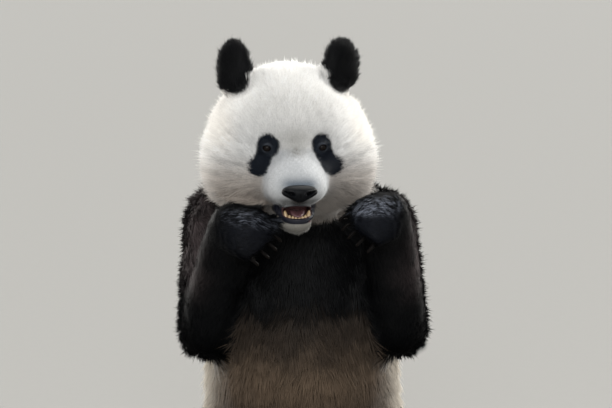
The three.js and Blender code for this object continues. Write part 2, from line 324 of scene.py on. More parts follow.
@dataclass
class Ripple:
    """A smooth random field made of a few plane waves, with its slope.

    Args:
        size: The wavelength.
        seed: Which field.
        waves: How many waves are summed.
    """

    size: float
    seed: int
    waves: int = 14

    def __post_init__(self) -> None:
        """Draws the waves."""
        draw = np.random.default_rng(self.seed)
        self.ways = unit(draw.normal(size=(self.waves, 3)))
        self.ways *= (2 * math.pi / self.size / draw.uniform(0.7, 1.5, self.waves))[:, None]
        self.shifts = draw.uniform(0, 2 * math.pi, self.waves)
        self.scale = math.sqrt(2 / self.waves)

    def height(self, points: Array) -> Array:
        """The field at each point, mostly from -2 to 2."""
        return np.sin(points @ self.ways.T + self.shifts).sum(axis=1) * self.scale

    def slope(self, points: Array) -> Array:
        """The field's slope at each point, scaled to a length of about 1."""
        steepest = self.scale * self.size / (2 * math.pi)
        return np.cos(points @ self.ways.T + self.shifts) @ self.ways * steepest


class Side(Enum):
    """A side of the animal, with the sign of its x."""

    LEFT = 1
    RIGHT = -1

    @property
    def word(self) -> str:
        """The side's name in piece and node names."""
        return self.name.lower()


# ---------------------------------------------------------------- the head's own axes


@dataclass
class HeadFrame:
    """The head's axes: x to its left, y from nose to nape, z up, from the head's root.

    The axes are worked out from the two eye solids, which are set level in the head.
    """

    eyes_back_mm: float = 106.0
    eyes_up_mm: float = 38.0

    def __post_init__(self) -> None:
        """Reads the eyes' places."""
        left, right = middle("eye_left"), middle("eye_right")
        across = unit(left - right)
        up = np.array([0.0, 0.0, 1.0])
        self.axes = np.stack([across, unit(np.cross(up, across)), up])
        step = np.array([0.0, -self.eyes_back_mm, self.eyes_up_mm]) * MM
        self.origin = (left + right) / 2 - step @ self.axes
        self.eye_gap_mm = float(np.linalg.norm(left - right)) / MM / 2

    def inside(self, points: Array) -> Array:
        """Points of the frame, in the head's axes and millimetres."""
        return (points - self.origin) @ self.axes.T / MM

    def of_solid(self, node: str) -> Array:
        """The middle of a solid, in the head's axes and millimetres."""
        return self.inside(middle(node)[None])[0]

    def outside(self, local_mm: Array) -> Array:
        """Points of the head's axes, in millimetres, back in the frame."""
        return np.asarray(local_mm) * MM @ self.axes + self.origin

    def turned(self, ways: Array) -> Array:
        """Directions of the head's axes, in the frame."""
        return np.asarray(ways) @ self.axes


# ---------------------------------------------------------------- finishes


@dataclass(frozen=True)
class Finish:
    """A named material, with the few node groups that the finishes share."""

    name: str

    def make(self) -> Material:
        """Builds the material.

        Returns:
            The material.
        """
        made = bpy.data.materials.new(self.name)
        made.use_nodes = True
        tree = made.node_tree
        fill(tree, tree.nodes["Principled BSDF"], self.surface(tree))
        return made

    def surface(self, tree: Tree) -> dict:
        """The shader's inputs, with the nodes behind them."""
        return {}

    def painted(self, tree: Tree, name: str) -> bpy.types.Node:
        """Reads an attribute of the mesh."""
        return add(tree, "ShaderNodeAttribute", attribute_name=name, attribute_type="GEOMETRY")

    def grain(self, tree: Tree, size_mm: float, detail: float, **more: float) -> Socket:
        """Adds noise that is fixed to the object, in grains of one size.

        Args:
            tree: The material's node tree.
            size_mm: The grains' size.
            detail: How many finer layers there are.
            **more: The noise's other inputs.

        Returns:
            The noise, from 0 to 1.
        """
        place = add(tree, "ShaderNodeTexCoord").outputs["Object"]
        inputs = {"Vector": place, "Scale": 1 / (size_mm * MM), "Detail": detail, **more}
        return add(tree, "ShaderNodeTexNoise", inputs).outputs["Fac"]

    def spread(self, tree: Tree, value: Socket, **ends: float) -> Socket:
        """Maps a value from one range to another; from_min and the like name the range's ends."""
        named = {key.replace("_", " ").title(): end for key, end in ends.items()}
        return add(tree, "ShaderNodeMapRange", {"Value": value, **named}).outputs["Result"]

    def blend(self, tree: Tree, share: Socket, low: str, high: str) -> Socket:
        """Blends two hex colours by a share."""
        inputs = {"Factor": share, "A": (*linear(low), 1), "B": (*linear(high), 1)}
        return add(tree, "ShaderNodeMix", inputs, data_type="RGBA").outputs[2]

    def relief(self, tree: Tree, height: Socket, strength: float, metres: float) -> Socket:
        """Turns a height into a bump of so many metres."""
        inputs = {"Height": height, "Strength": strength, "Distance": metres}
        return add(tree, "ShaderNodeBump", inputs).outputs["Normal"]

    def coat_tone(self, tree: Tree, fleck: Socket, low: float, high: float) -> Socket:
        """The painted colour of the coat, made darker and lighter in flecks."""
        shade = self.spread(tree, fleck, from_min=0.3, from_max=0.7, to_min=low, to_max=high)
        inputs = {0: self.painted(tree, "coat").outputs["Color"], "Scale": shade}
        return add(tree, "ShaderNodeVectorMath", inputs, operation="SCALE").outputs["Vector"]


@dataclass(frozen=True)
class GuardHair(Finish):
    """Panda guard hair: hollow keratin with a scaly surface, so it is soft with a faint sheen.

    The colour comes from the "coat" attribute that is painted on skin and tufts alike.
    """

    roughness: float
    sheen: float
    sheen_tint: str
    specular: float
    strand_mm: float = 3.0

    def surface(self, tree: Tree) -> dict:
        """Flecks the painted colour strand by strand.

        Args:
            tree: The material's node tree.

        Returns:
            The inputs by name.
        """
        return {
            "Base Color": self.coat_tone(tree, self.grain(tree, self.strand_mm, 2.0), 0.9, 1.08),
            "Roughness": self.roughness,
            "Sheen Weight": self.sheen,
            "Sheen Roughness": 0.45,
            "Sheen Tint": (*linear(self.sheen_tint), 1),
            "Specular IOR Level": self.specular,
        }


@dataclass(frozen=True)
class BareSkin(Finish):
    """Skin under the coat, with the flat short hair of the face drawn as a fine bump.

    Hair stubs about half a millimetre thick can't show, so they are drawn a few times coarser.
    """

    name: str = "panda_skin_with_short_hair"
    stub_mm: float = 2.4
    lip_roughness: float = 0.42

    def surface(self, tree: Tree) -> dict:
        """Flecks the painted colour and wets the lips.

        Args:
            tree: The material's node tree.

        Returns:
            The inputs by name.
        """
        stubs = self.grain(tree, self.stub_mm, 4.0, Roughness=0.6)
        wet = self.painted(tree, "wet").outputs["Fac"]
        return {
            "Base Color": self.coat_tone(tree, stubs, 0.8, 1.1),
            "Roughness": self.spread(tree, wet, to_min=0.75, to_max=self.lip_roughness),
            "Normal": self.relief(tree, stubs, 0.35, 0.0012),
            "Specular IOR Level": 0.35,
        }


@dataclass(frozen=True)
class MoistLeather(Finish):
    """Bare nose and pad leather: thick skin in small raised cells, moist, so it glints softly."""

    dark: str
    pale: str
    roughness: float
    cell_mm: float
    relief_mm: float
    gloss: float = 0.2

    def surface(self, tree: Tree) -> dict:
        """Draws the cells as a bump under blotches of two tones.

        Args:
            tree: The material's node tree.

        Returns:
            The inputs by name.
        """
        place = add(tree, "ShaderNodeTexCoord").outputs["Object"]
        inputs = {"Vector": place, "Scale": 1 / (self.cell_mm * MM)}
        cells = add(tree, "ShaderNodeTexVoronoi", inputs, feature="DISTANCE_TO_EDGE").outputs["Distance"]
        blotch = self.grain(tree, self.cell_mm * 4, 3.0)
        return {
            "Base Color": self.blend(tree, blotch, self.dark, self.pale),
            "Normal": self.relief(tree, cells, 0.8, self.relief_mm * MM),
            "Roughness": self.roughness,
            "Specular IOR Level": self.gloss,
        }


@dataclass(frozen=True)
class Plaster(Finish):
    """Matt floor plaster: gypsum with a fine trowelled grain, so it shows no reflection."""

    name: str = "matt_plaster_floor"
    colour: str = "#8c8b88"
    grain_mm: float = 25.0

    def surface(self, tree: Tree) -> dict:
        """Mottles the plaster by a few hundredths.

        Args:
            tree: The material's node tree.

        Returns:
            The inputs by name.
        """
        grain = self.grain(tree, self.grain_mm, 5.0)
        pale = linear(self.colour)
        dull = [part * 0.96 for part in pale]
        inputs = {"Factor": grain, "A": (*dull, 1), "B": (*pale, 1)}
        tint = add(tree, "ShaderNodeMix", inputs, data_type="RGBA")
        return {"Base Color": tint.outputs[2], "Roughness": 0.8}


# ---------------------------------------------------------------- floor, light and camera


@dataclass
class Studio:
    """A pale floor, soft studio light and the camera."""

    distance: float = 5.3
    elevation: float = 8.0
    lens_mm: float = 155.0
    floor_half: float = 40.0
    sensor_mm: float = 36.0
    aim_off: tuple[float, float, float] = (0.008, 0.1057, -0.127)

    def floor(self) -> None:
        """Builds the floor as one wide disc of plaster."""
        bm = bmesh.new()
        bmesh.ops.create_circle(bm, cap_ends=True, radius=self.floor_half, segments=96)
        piece = link_mesh("floor", mesh_of("floor", bm), Plaster().make())

    def light(self, name: str, kind: str, power: float, colour: str, way: Vector) -> bpy.types.Object:
        """Adds one soft light.

        Args:
            name: The light's name.
            kind: Its kind, by Blender's name.
            power: Its strength.
            colour: Its colour.
            way: The way from what it lights to the light.

        Returns:
            The light.
        """
        data = bpy.data.lights.new(name, kind)
        data.energy = power
        data.color = linear(colour)
        lamp = bpy.data.objects.new(name, data)
        lamp.rotation_euler = way.to_track_quat("Z", "Y").to_euler()
        bpy.context.scene.collection.objects.link(lamp)
        return lamp

    def shine(self) -> None:
        """Sets up three soft lights from behind, one in front and the pale sky."""
        for name, power, spread, way in (
            ("high_back_softbox", 2.0, 40, (0.2, 0.65, 1.2)),
            ("left_edge_softbox", 2.8, 30, (1.0, 0.75, 0.45)),
            ("right_edge_softbox", 2.2, 30, (-1.0, 0.75, 0.4)),
        ):
            self.light(name, "SUN", power, "#fffdf8", Vector(way)).data.angle = math.radians(spread)
        low, high = CAD_BOX
        chest = Vector((0.0, 0.0, (low.z + high.z) * 0.6))
        place = Vector((-0.3, -5.5, 3.0))
        fill_light = self.light("front_fill", "AREA", 138, "#f9faf9", place - chest)
        fill_light.location = place
        fill_light.data.size = 2.8
        scene = bpy.context.scene
        scene.world = bpy.data.worlds.new("studio_sky")
        scene.world.use_nodes = True
        tree = scene.world.node_tree
        fill(tree, tree.nodes["Background"], {"Color": (*linear("#e9eaeb"), 1), "Strength": 0.8})
        scene.view_settings.view_transform = "Standard"

    def build(self) -> None:
        """Sets up the floor, the lights and the camera."""
        self.floor()
        self.shine()
        scene = bpy.context.scene
        data = bpy.data.cameras.new("camera")
        data.lens = self.lens_mm
        data.sensor_width = self.sensor_mm
        camera = bpy.data.objects.new("camera", data)
        scene.collection.objects.link(camera)
        eyes = (middle("eye_left") + middle("eye_right")) / 2
        across, ahead, up = self.aim_off
        aim = Vector((across, eyes[1] + ahead, eyes[2] + up))
        tilt = math.radians(self.elevation)
        back = Vector((0, -math.cos(tilt), math.sin(tilt)))
        camera.location = aim + back * self.distance
        camera.rotation_euler = back.to_track_quat("Z", "Y").to_euler()
        scene.camera = camera


# ---------------------------------------------------------------- markings


@dataclass(frozen=True)
class Palette:
    """The coat's colours, mostly as the hair has them in even light; a few carry painted light or shade, as
    marked.
    """

    crown: str = "#f4f2ee"
    face: str = "#e5e4e2"
    cheek: str = "#bab1a9"
    # low cheeks: stained hair with painted shade of the fold beside the muzzle
    low_cheek_stain_and_fold_shade: str = "#9d9288"
    temple: str = "#e9e2d8"
    # grey hair of the brows; between them it also stands for painted shadow of the hair parting
    brow: str = "#827f77"
    muzzle: str = "#c4c6c8"
    nose_rim: str = "#6c7681"
    # upper lip hair; along its lower edge it also carries painted shade
    upper_lip: str = "#5c5d5f"
    chin: str = "#86837c"
    lip: str = "#1b1d2a"
    mouth: str = "#6b4a4a"
    black: str = "#060709"
    patch: str = "#181d26"
    # painted highlight: a pale bluish glint on the lid margins
    lid: str = "#4a525e"
    ear: str = "#0a0b0d"
    # the outer shoulders' brownish tinge, made lighter as painted backlight
    brown_tinge_and_backlight: str = "#5e5353"
    belly: str = "#6a5745"
    belly_low: str = "#4b3d31"
    belly_high: str = "#281f17"
    flank: str = "#c2b6a3"
    rump: str = "#d9cfbe"
    # painted sheen: bluish on top of the forepaws, where the black hair reflects the sky
    paw: str = "#1c1f28"
    # painted highlight: pale bluish streaks where the forepaws' glossy hair reflects the sky
    paw_glint_streaks: str = "#b0b7c7"


@dataclass(frozen=True)
class Lips:
    """The mouth's opening and the lower lip, in the head's axes and millimetres.

    The opening is a rounded oblong seen from the front, and the lip is a round ridge along
    half an oval under it.
    """

    opening_at: tuple[float, float] = (0.0, -82.0)
    opening_half: tuple[float, float] = (29.0, 13.5)
    hollow_mm: float = 34.0
    front_y: float = -100.0
    lip_half_wide: float = 32.6
    lip_front_y: float = -165.4
    lip_back_y: float = -118.0
    lip_z: float = -99.4
    lip_rise: float = 14.0
    lip_radius: float = 6.1

    def opening(self, local: Array) -> Array:
        """How far out from the opening's middle a point is seen from the front, 1 at its edge."""
        across = np.abs(local[:, 0] - self.opening_at[0]) / self.opening_half[0]
        up = np.abs(local[:, 2] - self.opening_at[1]) / self.opening_half[1]
        return (across**3 + up**3) ** (1 / 3)

    def ridge(self, local: Array) -> tuple[Array, Array]:
        """The nearest point of the lower lip's middle line, and the distance to it.

        Args:
            local: Places in the head's axes, in millimetres.

        Returns:
            The points and the distances.
        """
        turns = np.linspace(-math.pi / 2, math.pi / 2, 41)
        line = np.stack(
            [
                self.lip_half_wide * np.sin(turns),
                self.lip_back_y + (self.lip_front_y - self.lip_back_y) * np.cos(turns),
                self.lip_z + self.lip_rise * np.sin(turns) ** 4,
            ],
            axis=1,
        )
        gaps = np.linalg.norm(local[:, None] - line[None], axis=2)
        near = gaps.argmin(axis=1)
        return line[near], gaps[np.arange(len(local)), near]


@dataclass(frozen=True)
class EyePatch:
    """The black patch round one eye: a round lobe over the eye, and an oval one on the cheek.

    Places are in the head's axes and millimetres, across from the middle of the face and up.
    """

    high: tuple[float, float]
    high_radius: float
    low: tuple[float, float]
    low_radii: tuple[float, float]
    waist_radius: float
    waist_inward: float
    notch: tuple[float, float] = (30.5, 61.0)
    notch_radius: float = 7.0

    def out(self, wide: Array, z: Array) -> Array:
        """How far out from the patch each place is, 1 at its edge.

        Args:
            wide: How far across from the middle of the face each place is.
            z: How far up.

        Returns:
            The distance, as a share of the patch's own size.
        """
        place = np.stack([wide, z], axis=1)
        run = np.subtract(self.low, self.high)
        inward = np.array([run[1], -run[0]]) / np.hypot(*run)
        share = np.clip((place - self.high) @ run / (run @ run), 0.1, 0.9)
        line = self.high + self.waist_inward * inward + share[:, None] * run
        waist = np.linalg.norm(place - line, axis=1) / self.waist_radius
        high = np.linalg.norm(place - self.high, axis=1) / self.high_radius
        low = np.linalg.norm((place - self.low) / self.low_radii, axis=1)
        nick = np.linalg.norm(place - self.notch, axis=1) / self.notch_radius
        return np.maximum(np.minimum(np.minimum(high, low), waist), 1.6 - 0.6 * nick)


@dataclass
class Markings:
    """Where each colour of the coat lies, for skin and tufts alike.

    Circles and heights on the head are in its own axes, in millimetres, and those on the
    trunk are metres over the floor.
    """

    head: HeadFrame
    palette: Palette = field(default_factory=Palette)
    left_patch: EyePatch = EyePatch((52.8, 42.5), 21.3, (74.6, 1.8), (19.6, 19.6), 18.1, 3.4)
    right_patch: EyePatch = EyePatch((51.0, 42.5), 21.7, (71.5, 1.6), (16.2, 19.2), 15.6, 0.8)
    # Where the painted lid glint lies: across, up and radius.
    lid_glint_ring: tuple[float, float, float] = (53.5, 37.5, 9.6)
    lips: Lips = field(default_factory=Lips)
    tide: Ripple = field(default_factory=lambda: Ripple(0.05, 33, 16))
    # Patchiness of the grey between the brows, partly painted shadow of the hair parting.
    parting_shade_ripple: Ripple = field(default_factory=lambda: Ripple(9.0, 31, 16))
    yoke_front: float = 0.392
    yoke_back: float = 0.455
    yoke_top: float = 0.60
    ear_at: tuple[float, float] = (112.0, 164.0)
    ear_half: tuple[float, float] = (34.0, 31.0)

    def colour(self, name: str) -> Array:
        """One of the palette's colours in linear light; under the nose the lip is a quarter as light."""
        if name == "under_nose":
            return self.colour("upper_lip") * 0.25
        return np.array(linear(getattr(self.palette, name)))

    def layered(self, base: str, size: int, *layers: tuple[str, Array]) -> Array:
        """Lays colours over a base one, in order.

        Args:
            base: The base colour's name.
            size: How many places there are.
            *layers: Each colour's name, and how much of it there is at each place.

        Returns:
            The colours in linear light.
        """
        tone = np.tile(self.colour(base), (size, 1))
        for name, share in layers:
            tone = mix(tone, self.colour(name), share)
        return tone

    def on_lips(self, local: Array) -> tuple[Array, Array]:
        """How much of each place is bare dark lip, and how much is the mouth's inside.

        Args:
            local: Places in the head's axes, in millimetres.

        Returns:
            The two shares, from 0 to 1.
        """
        lips = self.lips
        lip, inside = np.zeros(len(local)), np.zeros(len(local))
        x, y, z = local.T
        near = np.flatnonzero((np.abs(x) < 52) & (y < -60) & (z > -118) & (z < -50))
        place = local[near]
        out = lips.opening(place)
        _, gap = lips.ridge(place)
        above = rise(lips.opening_at[1], lips.opening_at[1] + 6, place[:, 2])
        rim = rise(1.2 - 0.12 * above, 1.12 - 0.1 * above, out)
        low = rise(lips.lip_z - 8, lips.lip_z - 5.5, place[:, 2])
        lip[near] = np.maximum(rim, rise(lips.lip_radius + 1.5, lips.lip_radius, gap) * low)
        corner = np.hypot((np.abs(place[:, 0]) - 33) / 11, (place[:, 2] - lips.opening_at[1] - 2) / 12)
        lip[near] = np.maximum(lip[near], rise(1.1, 0.9, corner) * rise(-150, -140, place[:, 1]))
        inside[near] = rise(1.06, 0.96, out) * rise(-170, -160, place[:, 1])
        return lip, inside

    def patch(self, local: Array) -> Array:
        """How far out from an eye's black patch a point is, 1 at its edge."""
        x, _, z = local.T
        return np.where(x > 0, self.left_patch.out(x, z), self.right_patch.out(-x, z))

    def ear_foot(self, local: Array) -> Array:
        """How far out from the black foot of an ear a point is, 1 at its edge."""
        (wide, high), (half_wide, half_high) = self.ear_at, self.ear_half
        out = np.hypot((np.abs(local[:, 0]) - wide) / half_wide, (local[:, 2] - high) / half_high)
        return out + 0.15 * rise(0, 50, local[:, 1])

    def on_head(self, local: Array) -> tuple[Array, Array]:
        """Colours of the head's coat.

        Args:
            local: Places in the head's axes, in millimetres.

        Returns:
            The colours, and how black each is from 0 to 1.
        """
        x, y, z = local.T
        wide = np.abs(x)
        brow = 0.5 * np.exp(-((x / 38) ** 2) - ((z - 54) / 20) ** 2)
        box = (np.abs(x - 0.6) / 63.6) ** 3 + (np.abs(z + 24) / 60) ** 3
        # Between the brows: grey hair with painted shadow of the hair parting, patchy.
        parting_shade_ripple = 0.62 + 0.2 * self.parting_shade_ripple.height(local)
        grey_and_parting_shade = np.exp(-(((x - 1) / 17) ** 2) - ((z - 33) / 9) ** 2) * parting_shade_ripple
        # Lower edge of the upper lip: darker hair with painted shade.
        lip_margin_hair_and_shade = rise(-46, -58, z) * rise(46, 26, wide) * rise(-120, -140, y) * rise(-90, -80, z)
        under = np.exp(-((x / 16) ** 4) - ((z + 62) / 11) ** 4) * rise(-150, -170, y)
        lip, inside = self.on_lips(local)
        dark = rise(1.08, 0.92, self.patch(local)) * rise(-20, -60, y)
        rim = np.hypot(wide - self.lid_glint_ring[0], z - self.lid_glint_ring[1]) - self.lid_glint_ring[2]
        foot = rise(1.05, 0.9, self.ear_foot(local))
        right_more = 0.92 - 0.3 * rise(-60, 60, x)
        tone = self.layered(
            "crown",
            len(x),
            ("face", rise(130, 40, z) * rise(-20, -80, y)),
            ("temple", 0.6 * rise(95, 130, wide) * rise(0, 60, z)),
            ("cheek", 0.85 * rise(32, -30, z) * rise(172, 145, wide)),
            # Low cheeks beside the muzzle: stains, with painted shade of the fold between muzzle and cheek.
            ("low_cheek_stain_and_fold_shade", right_more * rise(-8, -70, z) * rise(165, 125, wide)),
            ("brow", brow * rise(-75, -100, y)),
            ("muzzle", rise(1.25, 0.8, box) * rise(-108, -126, y)),
            ("brow", np.clip(grey_and_parting_shade, 0, 0.95) * rise(-75, -100, y)),
            ("nose_rim", np.exp(-((x / 33) ** 4) - ((z + 23) / 11) ** 2) * rise(-160, -180, y)),
            ("chin", rise(-92, -104, z) * rise(70, 40, wide) * rise(-40, -90, y)),
            ("upper_lip", 0.75 * lip_margin_hair_and_shade),
            ("under_nose", 0.9 * under),
            ("lip", lip),
            ("mouth", inside),
            ("patch", dark),
            # Painted highlight: a faint pale ring on the lid margins round each eye.
            ("lid", 0.24 * np.exp(-((rim / 1.5) ** 2)) * rise(-85, -100, y)),
            ("ear", foot),
        )
        return tone, np.maximum(dark, foot)

    def on_limbs(self, points: Array) -> Array:
        """Colours of the limbs' coat: black, brownish with painted backlight on the outer shoulders, painted
        bluish sheen on top of the forepaws.

        Args:
            points: Places in the frame.

        Returns:
            The colours in linear light.
        """
        x, y, z = points.T
        # The outer shoulders get the hair's brownish tinge, made lighter as painted backlight.
        outer = rise(0.15, 0.22, np.abs(x)) * rise(0.40, 0.52, z) * rise(-0.19, -0.08, y)
        return self.layered(
            "black",
            len(x),
            ("brown_tinge_and_backlight", 0.78 * outer * rise(0.26, 0.10, y) * rise(-3.2, 0.6, self.tide.height(points))),
            # Painted sheen: bluish on top of the forepaws, where the black hair faces the sky.
            ("paw", rise(0.50, 0.62, z) * rise(-0.18, -0.25, y)),
        )

    def on_trunk(self, points: Array) -> tuple[Array, Array]:
        """Colours of the trunk's and neck's coat.

        Args:
            points: Places in the frame.

        Returns:
            The colours, and how black each is from 0 to 1.
        """
        x, y, z = points.T
        front = rise(0.10, -0.06, y)
        ragged = 0.007 * self.tide.height(points)
        spine = (1 - front) * np.exp(-((x / 0.075) ** 2))
        lower = self.yoke_back + (self.yoke_front - self.yoke_back) * front + 0.03 * spine + ragged
        upper = self.yoke_top + 0.06 * front - 0.02 * spine + ragged
        soft = 0.012 + 0.016 * front
        dark = rise(-soft, soft, z - lower) * rise(0.012, -0.012, z - upper)
        soiled = rise(0.10, -0.05, y) * rise(0.26, 0.15, np.abs(x))
        tone = self.layered(
            "flank",
            len(x),
            ("crown", rise(0.5, 0.62, z)),
            ("rump", rise(0.0, 0.16, y) * rise(0.5, 0.3, z)),
            ("belly", 0.95 * soiled * rise(0.5, 0.4, z)),
            ("belly_high", 0.95 * soiled * rise(0.25, 0.355, z + ragged)),
            ("belly_low", 0.8 * soiled * rise(0.30, 0.12, z)),
            ("belly_low", 0.7 * rise(0.10, 0.0, z)),
            ("black", dark),
        )
        return tone, dark


# ---------------------------------------------------------------- the skin


@dataclass(frozen=True)
class Depth:
    """How deep the coat lies on each part, in millimetres."""

    crown: float = 13.0
    cheek: float = 20.0
    face: float = 8.0
    muzzle: float = 4.0
    ear: float = 0.5
    neck: float = 22.0
    trunk: float = 24.0
    tail: float = 16.0
    upper_arm: float = 15.0
    forearm: float = 12.0
    forepaw: float = 7.0
    thigh: float = 22.0
    shin: float = 18.0
    hind_foot: float = 8.0


@dataclass
class Skin:
    """The one skin of the whole animal, with the face modelled on it.

    Args:
        head: The head's axes.
        markings: The coat's colours.
        depth: The coat's depth.
        voxel: How fine the solids are welded together.
        evening: How many times the weld is evened out.
        lid_proud_mm: How far the lids stand over the eyeball.
        opening_mm: Half the width and height of the opening between the lids.
        lid_ends_mm: How far from the eye's middle the lids are none and whole.
        crease_mm: The radius, width and depth of the crease round the lids.
        socket_mm: The radius, width and depth of the socket.
        lid_way: How far outward and up the lids face, against one step forward.
    """

    head: HeadFrame
    markings: Markings
    depth: Depth = field(default_factory=Depth)
    voxel: float = 0.0085
    evening: int = 7
    lid_proud_mm: float = 1.8
    opening_mm: tuple[float, float] = (8.4, 5.9)
    lid_ends_mm: tuple[float, float] = (17.5, 11.0)
    crease_mm: tuple[float, float, float] = (13.5, 1.8, 1.2)
    socket_mm: tuple[float, float, float] = (20.0, 7.0, 3.0)
    lid_way: tuple[float, float] = (0.22, 0.02)

    def gather(self) -> Mesh:
        """Joins copies of the flesh solids and welds them into one even mesh.

        Returns:
            The mesh.
        """
        bm = bmesh.new()
        for name in FLESH + ["nose", "eye_left", "eye_right"]:
            bm.from_mesh(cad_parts[name].data)
        bmesh.ops.remove_doubles(bm, verts=bm.verts, dist=1e-5)
        raw = link_mesh("skin_raw", mesh_of("skin_raw", bm), None)
        weld = raw.modifiers.new("weld", "REMESH")
        weld.mode = "VOXEL"
        weld.voxel_size = self.voxel
        graph = bpy.context.evaluated_depsgraph_get()
        mesh = bpy.data.meshes.new_from_object(raw.evaluated_get(graph))
        bpy.data.objects.remove(raw)
        return mesh

    def refined(self, mesh: Mesh) -> Mesh:
        """Divides the mesh where the face needs finer modelling.

        Args:
            mesh: The welded mesh.

        Returns:
            The finer one.
        """
        bm = bmesh.new()
        bm.from_mesh(mesh)
        smooth(bm, bm.verts, 0.5, self.evening)
        for level in range(3):
            x, y, z = self.head.inside(np.array([v.co for v in bm.verts])).T
            wide = np.abs(x)
            eyes = np.hypot(wide - self.head.eye_gap_mm, z - self.head.eyes_up_mm)
            near = (
                (y < -30) & (wide < 130) & (z > -135) & (z < 110),
                (y < -85) & (wide < 52) & (z > -128) & (z < 2) | (eyes < 34) & (y < -60),
                (y < -95) & (wide < 44) & (z > -116) & (z < -54) | (eyes < 19) & (y < -70),
            )[level]
            bm.verts.index_update()
            chosen = [e for e in bm.edges if near[e.verts[0].index] and near[e.verts[1].index]]
            bmesh.ops.subdivide_edges(bm, edges=chosen, cuts=1, use_grid_fill=True)
            bm.verts.ensure_lookup_table()
            local = self.head.inside(np.array([v.co for v in bm.verts]))
            front = np.flatnonzero((local[:, 1] < -20) & (np.abs(local[:, 0]) < 135) & (local[:, 2] > -140))
            smooth(bm, [bm.verts[i] for i in front], 0.4, 2)
        return mesh_of("skin", bm)

    def owners(self, points: Array) -> Array:
        """The number in FLESH of the solid nearest each point.

        Args:
            points: Places in the frame.

        Returns:
            One number for each point.
        """
        verts: list = []
        faces: list = []
        owner: list = []
        for number, name in enumerate(FLESH):
            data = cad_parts[name].data
            start = len(verts)
            verts += [v.co.copy() for v in data.vertices]
            faces += [[start + i for i in p.vertices] for p in data.polygons]
            owner += [number] * len(data.polygons)
        tree = BVHTree.FromPolygons(verts, faces)
        return np.array([owner[tree.find_nearest(Vector(p))[2]] for p in points])

    def depths(self, local: Array, owner: Array, edges: Array) -> Array:
        """The coat's depth at each vertex, in metres, with the head's worked out from crown to muzzle.

        Args:
            local: The vertices in the head's axes, in millimetres.
            owner: Each one's solid.
            edges: The mesh's edges.

        Returns:
            The depths.
        """
        table = []
        for name in FLESH:
            part = name.rsplit("_", 1)[0] if name.endswith(SIDES) else name
            table.append(getattr(self.depth, {"head": "crown", "lower_jaw": "crown"}.get(part, part)))
        deep = relax(np.array(table)[owner], edges, 10)
        x, y, z = local.T
        wide = np.abs(x)
        size = self.depth
        crown = size.crown + (size.cheek - size.crown) * rise(60, 100, wide) * rise(60, -10, z)
        front = rise(-40, -100, y)
        crown = crown * (1 - front) + (crown * 0.5 + size.face * 0.5) * front
        crown = crown + (size.face - crown) * rise(62, 34, np.hypot(wide - 58, z - 36)) * front
        crown = crown + (size.muzzle - crown) * rise(85, 60, np.hypot(wide, z + 40)) * rise(-90, -125, y)
        crown = crown + (size.face - crown) * (rise(-60, -95, z) * rise(60, 30, wide) * rise(-70, -110, y))
        lip, _ = self.markings.on_lips(local)
        crown = crown * (1 - 0.8 * lip)
        deep = np.where(owned(owner, HEAD_PARTS), crown, deep)
        return relax(deep, edges, 3) * MM

    def face(self, points: Array) -> Array:
        """Models lids, sockets, lips and chin on the drawn-in skin.

        Args:
            points: The skin's vertices.

        Returns:
            Their new places.
        """
        local = self.head.inside(points)
        low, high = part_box("eye_left")
        radius = (high.x - low.x) / 2 / MM
        for side in Side:
            eye = self.head.of_solid(f"eye_{side.word}")
            way = unit(np.array([self.lid_way[0] * side.value, -1.0, self.lid_way[1]]))
            across = unit(np.cross(way, [0.0, 0.0, 1.0])) * -1
            up = np.cross(across, way)
            rel = local - eye
            u, v, w = rel @ across, rel @ up, rel @ way
            slant = v + 0.12 * u * side.value
            ring = np.hypot(u / self.opening_mm[0], slant / self.opening_mm[1])
            far = np.hypot(u, v)
            crease, socket = (
                deep * np.exp(-(((far - at) / wide) ** 2))
                for at, wide, deep in (self.crease_mm, self.socket_mm)
            )
            shell = np.sqrt(np.maximum((radius + self.lid_proud_mm) ** 2 - far**2, 0))
            lid = np.where(ring > 1, shell - crease, radius * 0.3)
            lid = np.where(far < radius + 1.0, lid, w)
            share = rise(*self.lid_ends_mm, far)
            new = w + (lid - w) * share
            new = np.where((far < 34) & (w > -30), new - socket * (1 - share), w)
            local = local + (new - w)[:, None] * way
        return self.head.outside(self.mouth(local))

    def mouth(self, local: Array) -> Array:
        """Raises the lower lip, presses the mouth in and cuts the groove under the nose.

        Args:
            local: The skin's vertices in the head's axes, in millimetres.

        Returns:
            Their new places.
        """
        lips = self.markings.lips
        near = np.flatnonzero((np.abs(local[:, 0]) < 60) & (local[:, 1] < -70) & (local[:, 2] < -40))
        place = local[near]
        out = lips.opening(place)
        push = lips.hollow_mm * rise(1.0, 0.8, out) * rise(lips.front_y + 30, lips.front_y, place[:, 1])
        line, gap = lips.ridge(place)
        below = place[:, 2] < line[:, 2]
        swell = np.maximum(lips.lip_radius - gap, 0) * rise(0.85, 1.05, out + 0.2 * below)
        place = place + unit(place - line) * swell[:, None]
        place[:, 1] += push
        x, y, z = place.T
        groove = np.exp(-((x / 2.0) ** 2)) * rise(-70, -66, z) * rise(-150, -170, y)
        place[:, 1] += 2.2 * groove
        local = local.copy()
        local[near] = place
        soft = relax(local, self.edges, 2, 0.4)
        x, y, z = local.T
        return mix(local, soft, rise(66, 50, np.abs(x)) * rise(-75, -90, y) * rise(-48, -54, z))

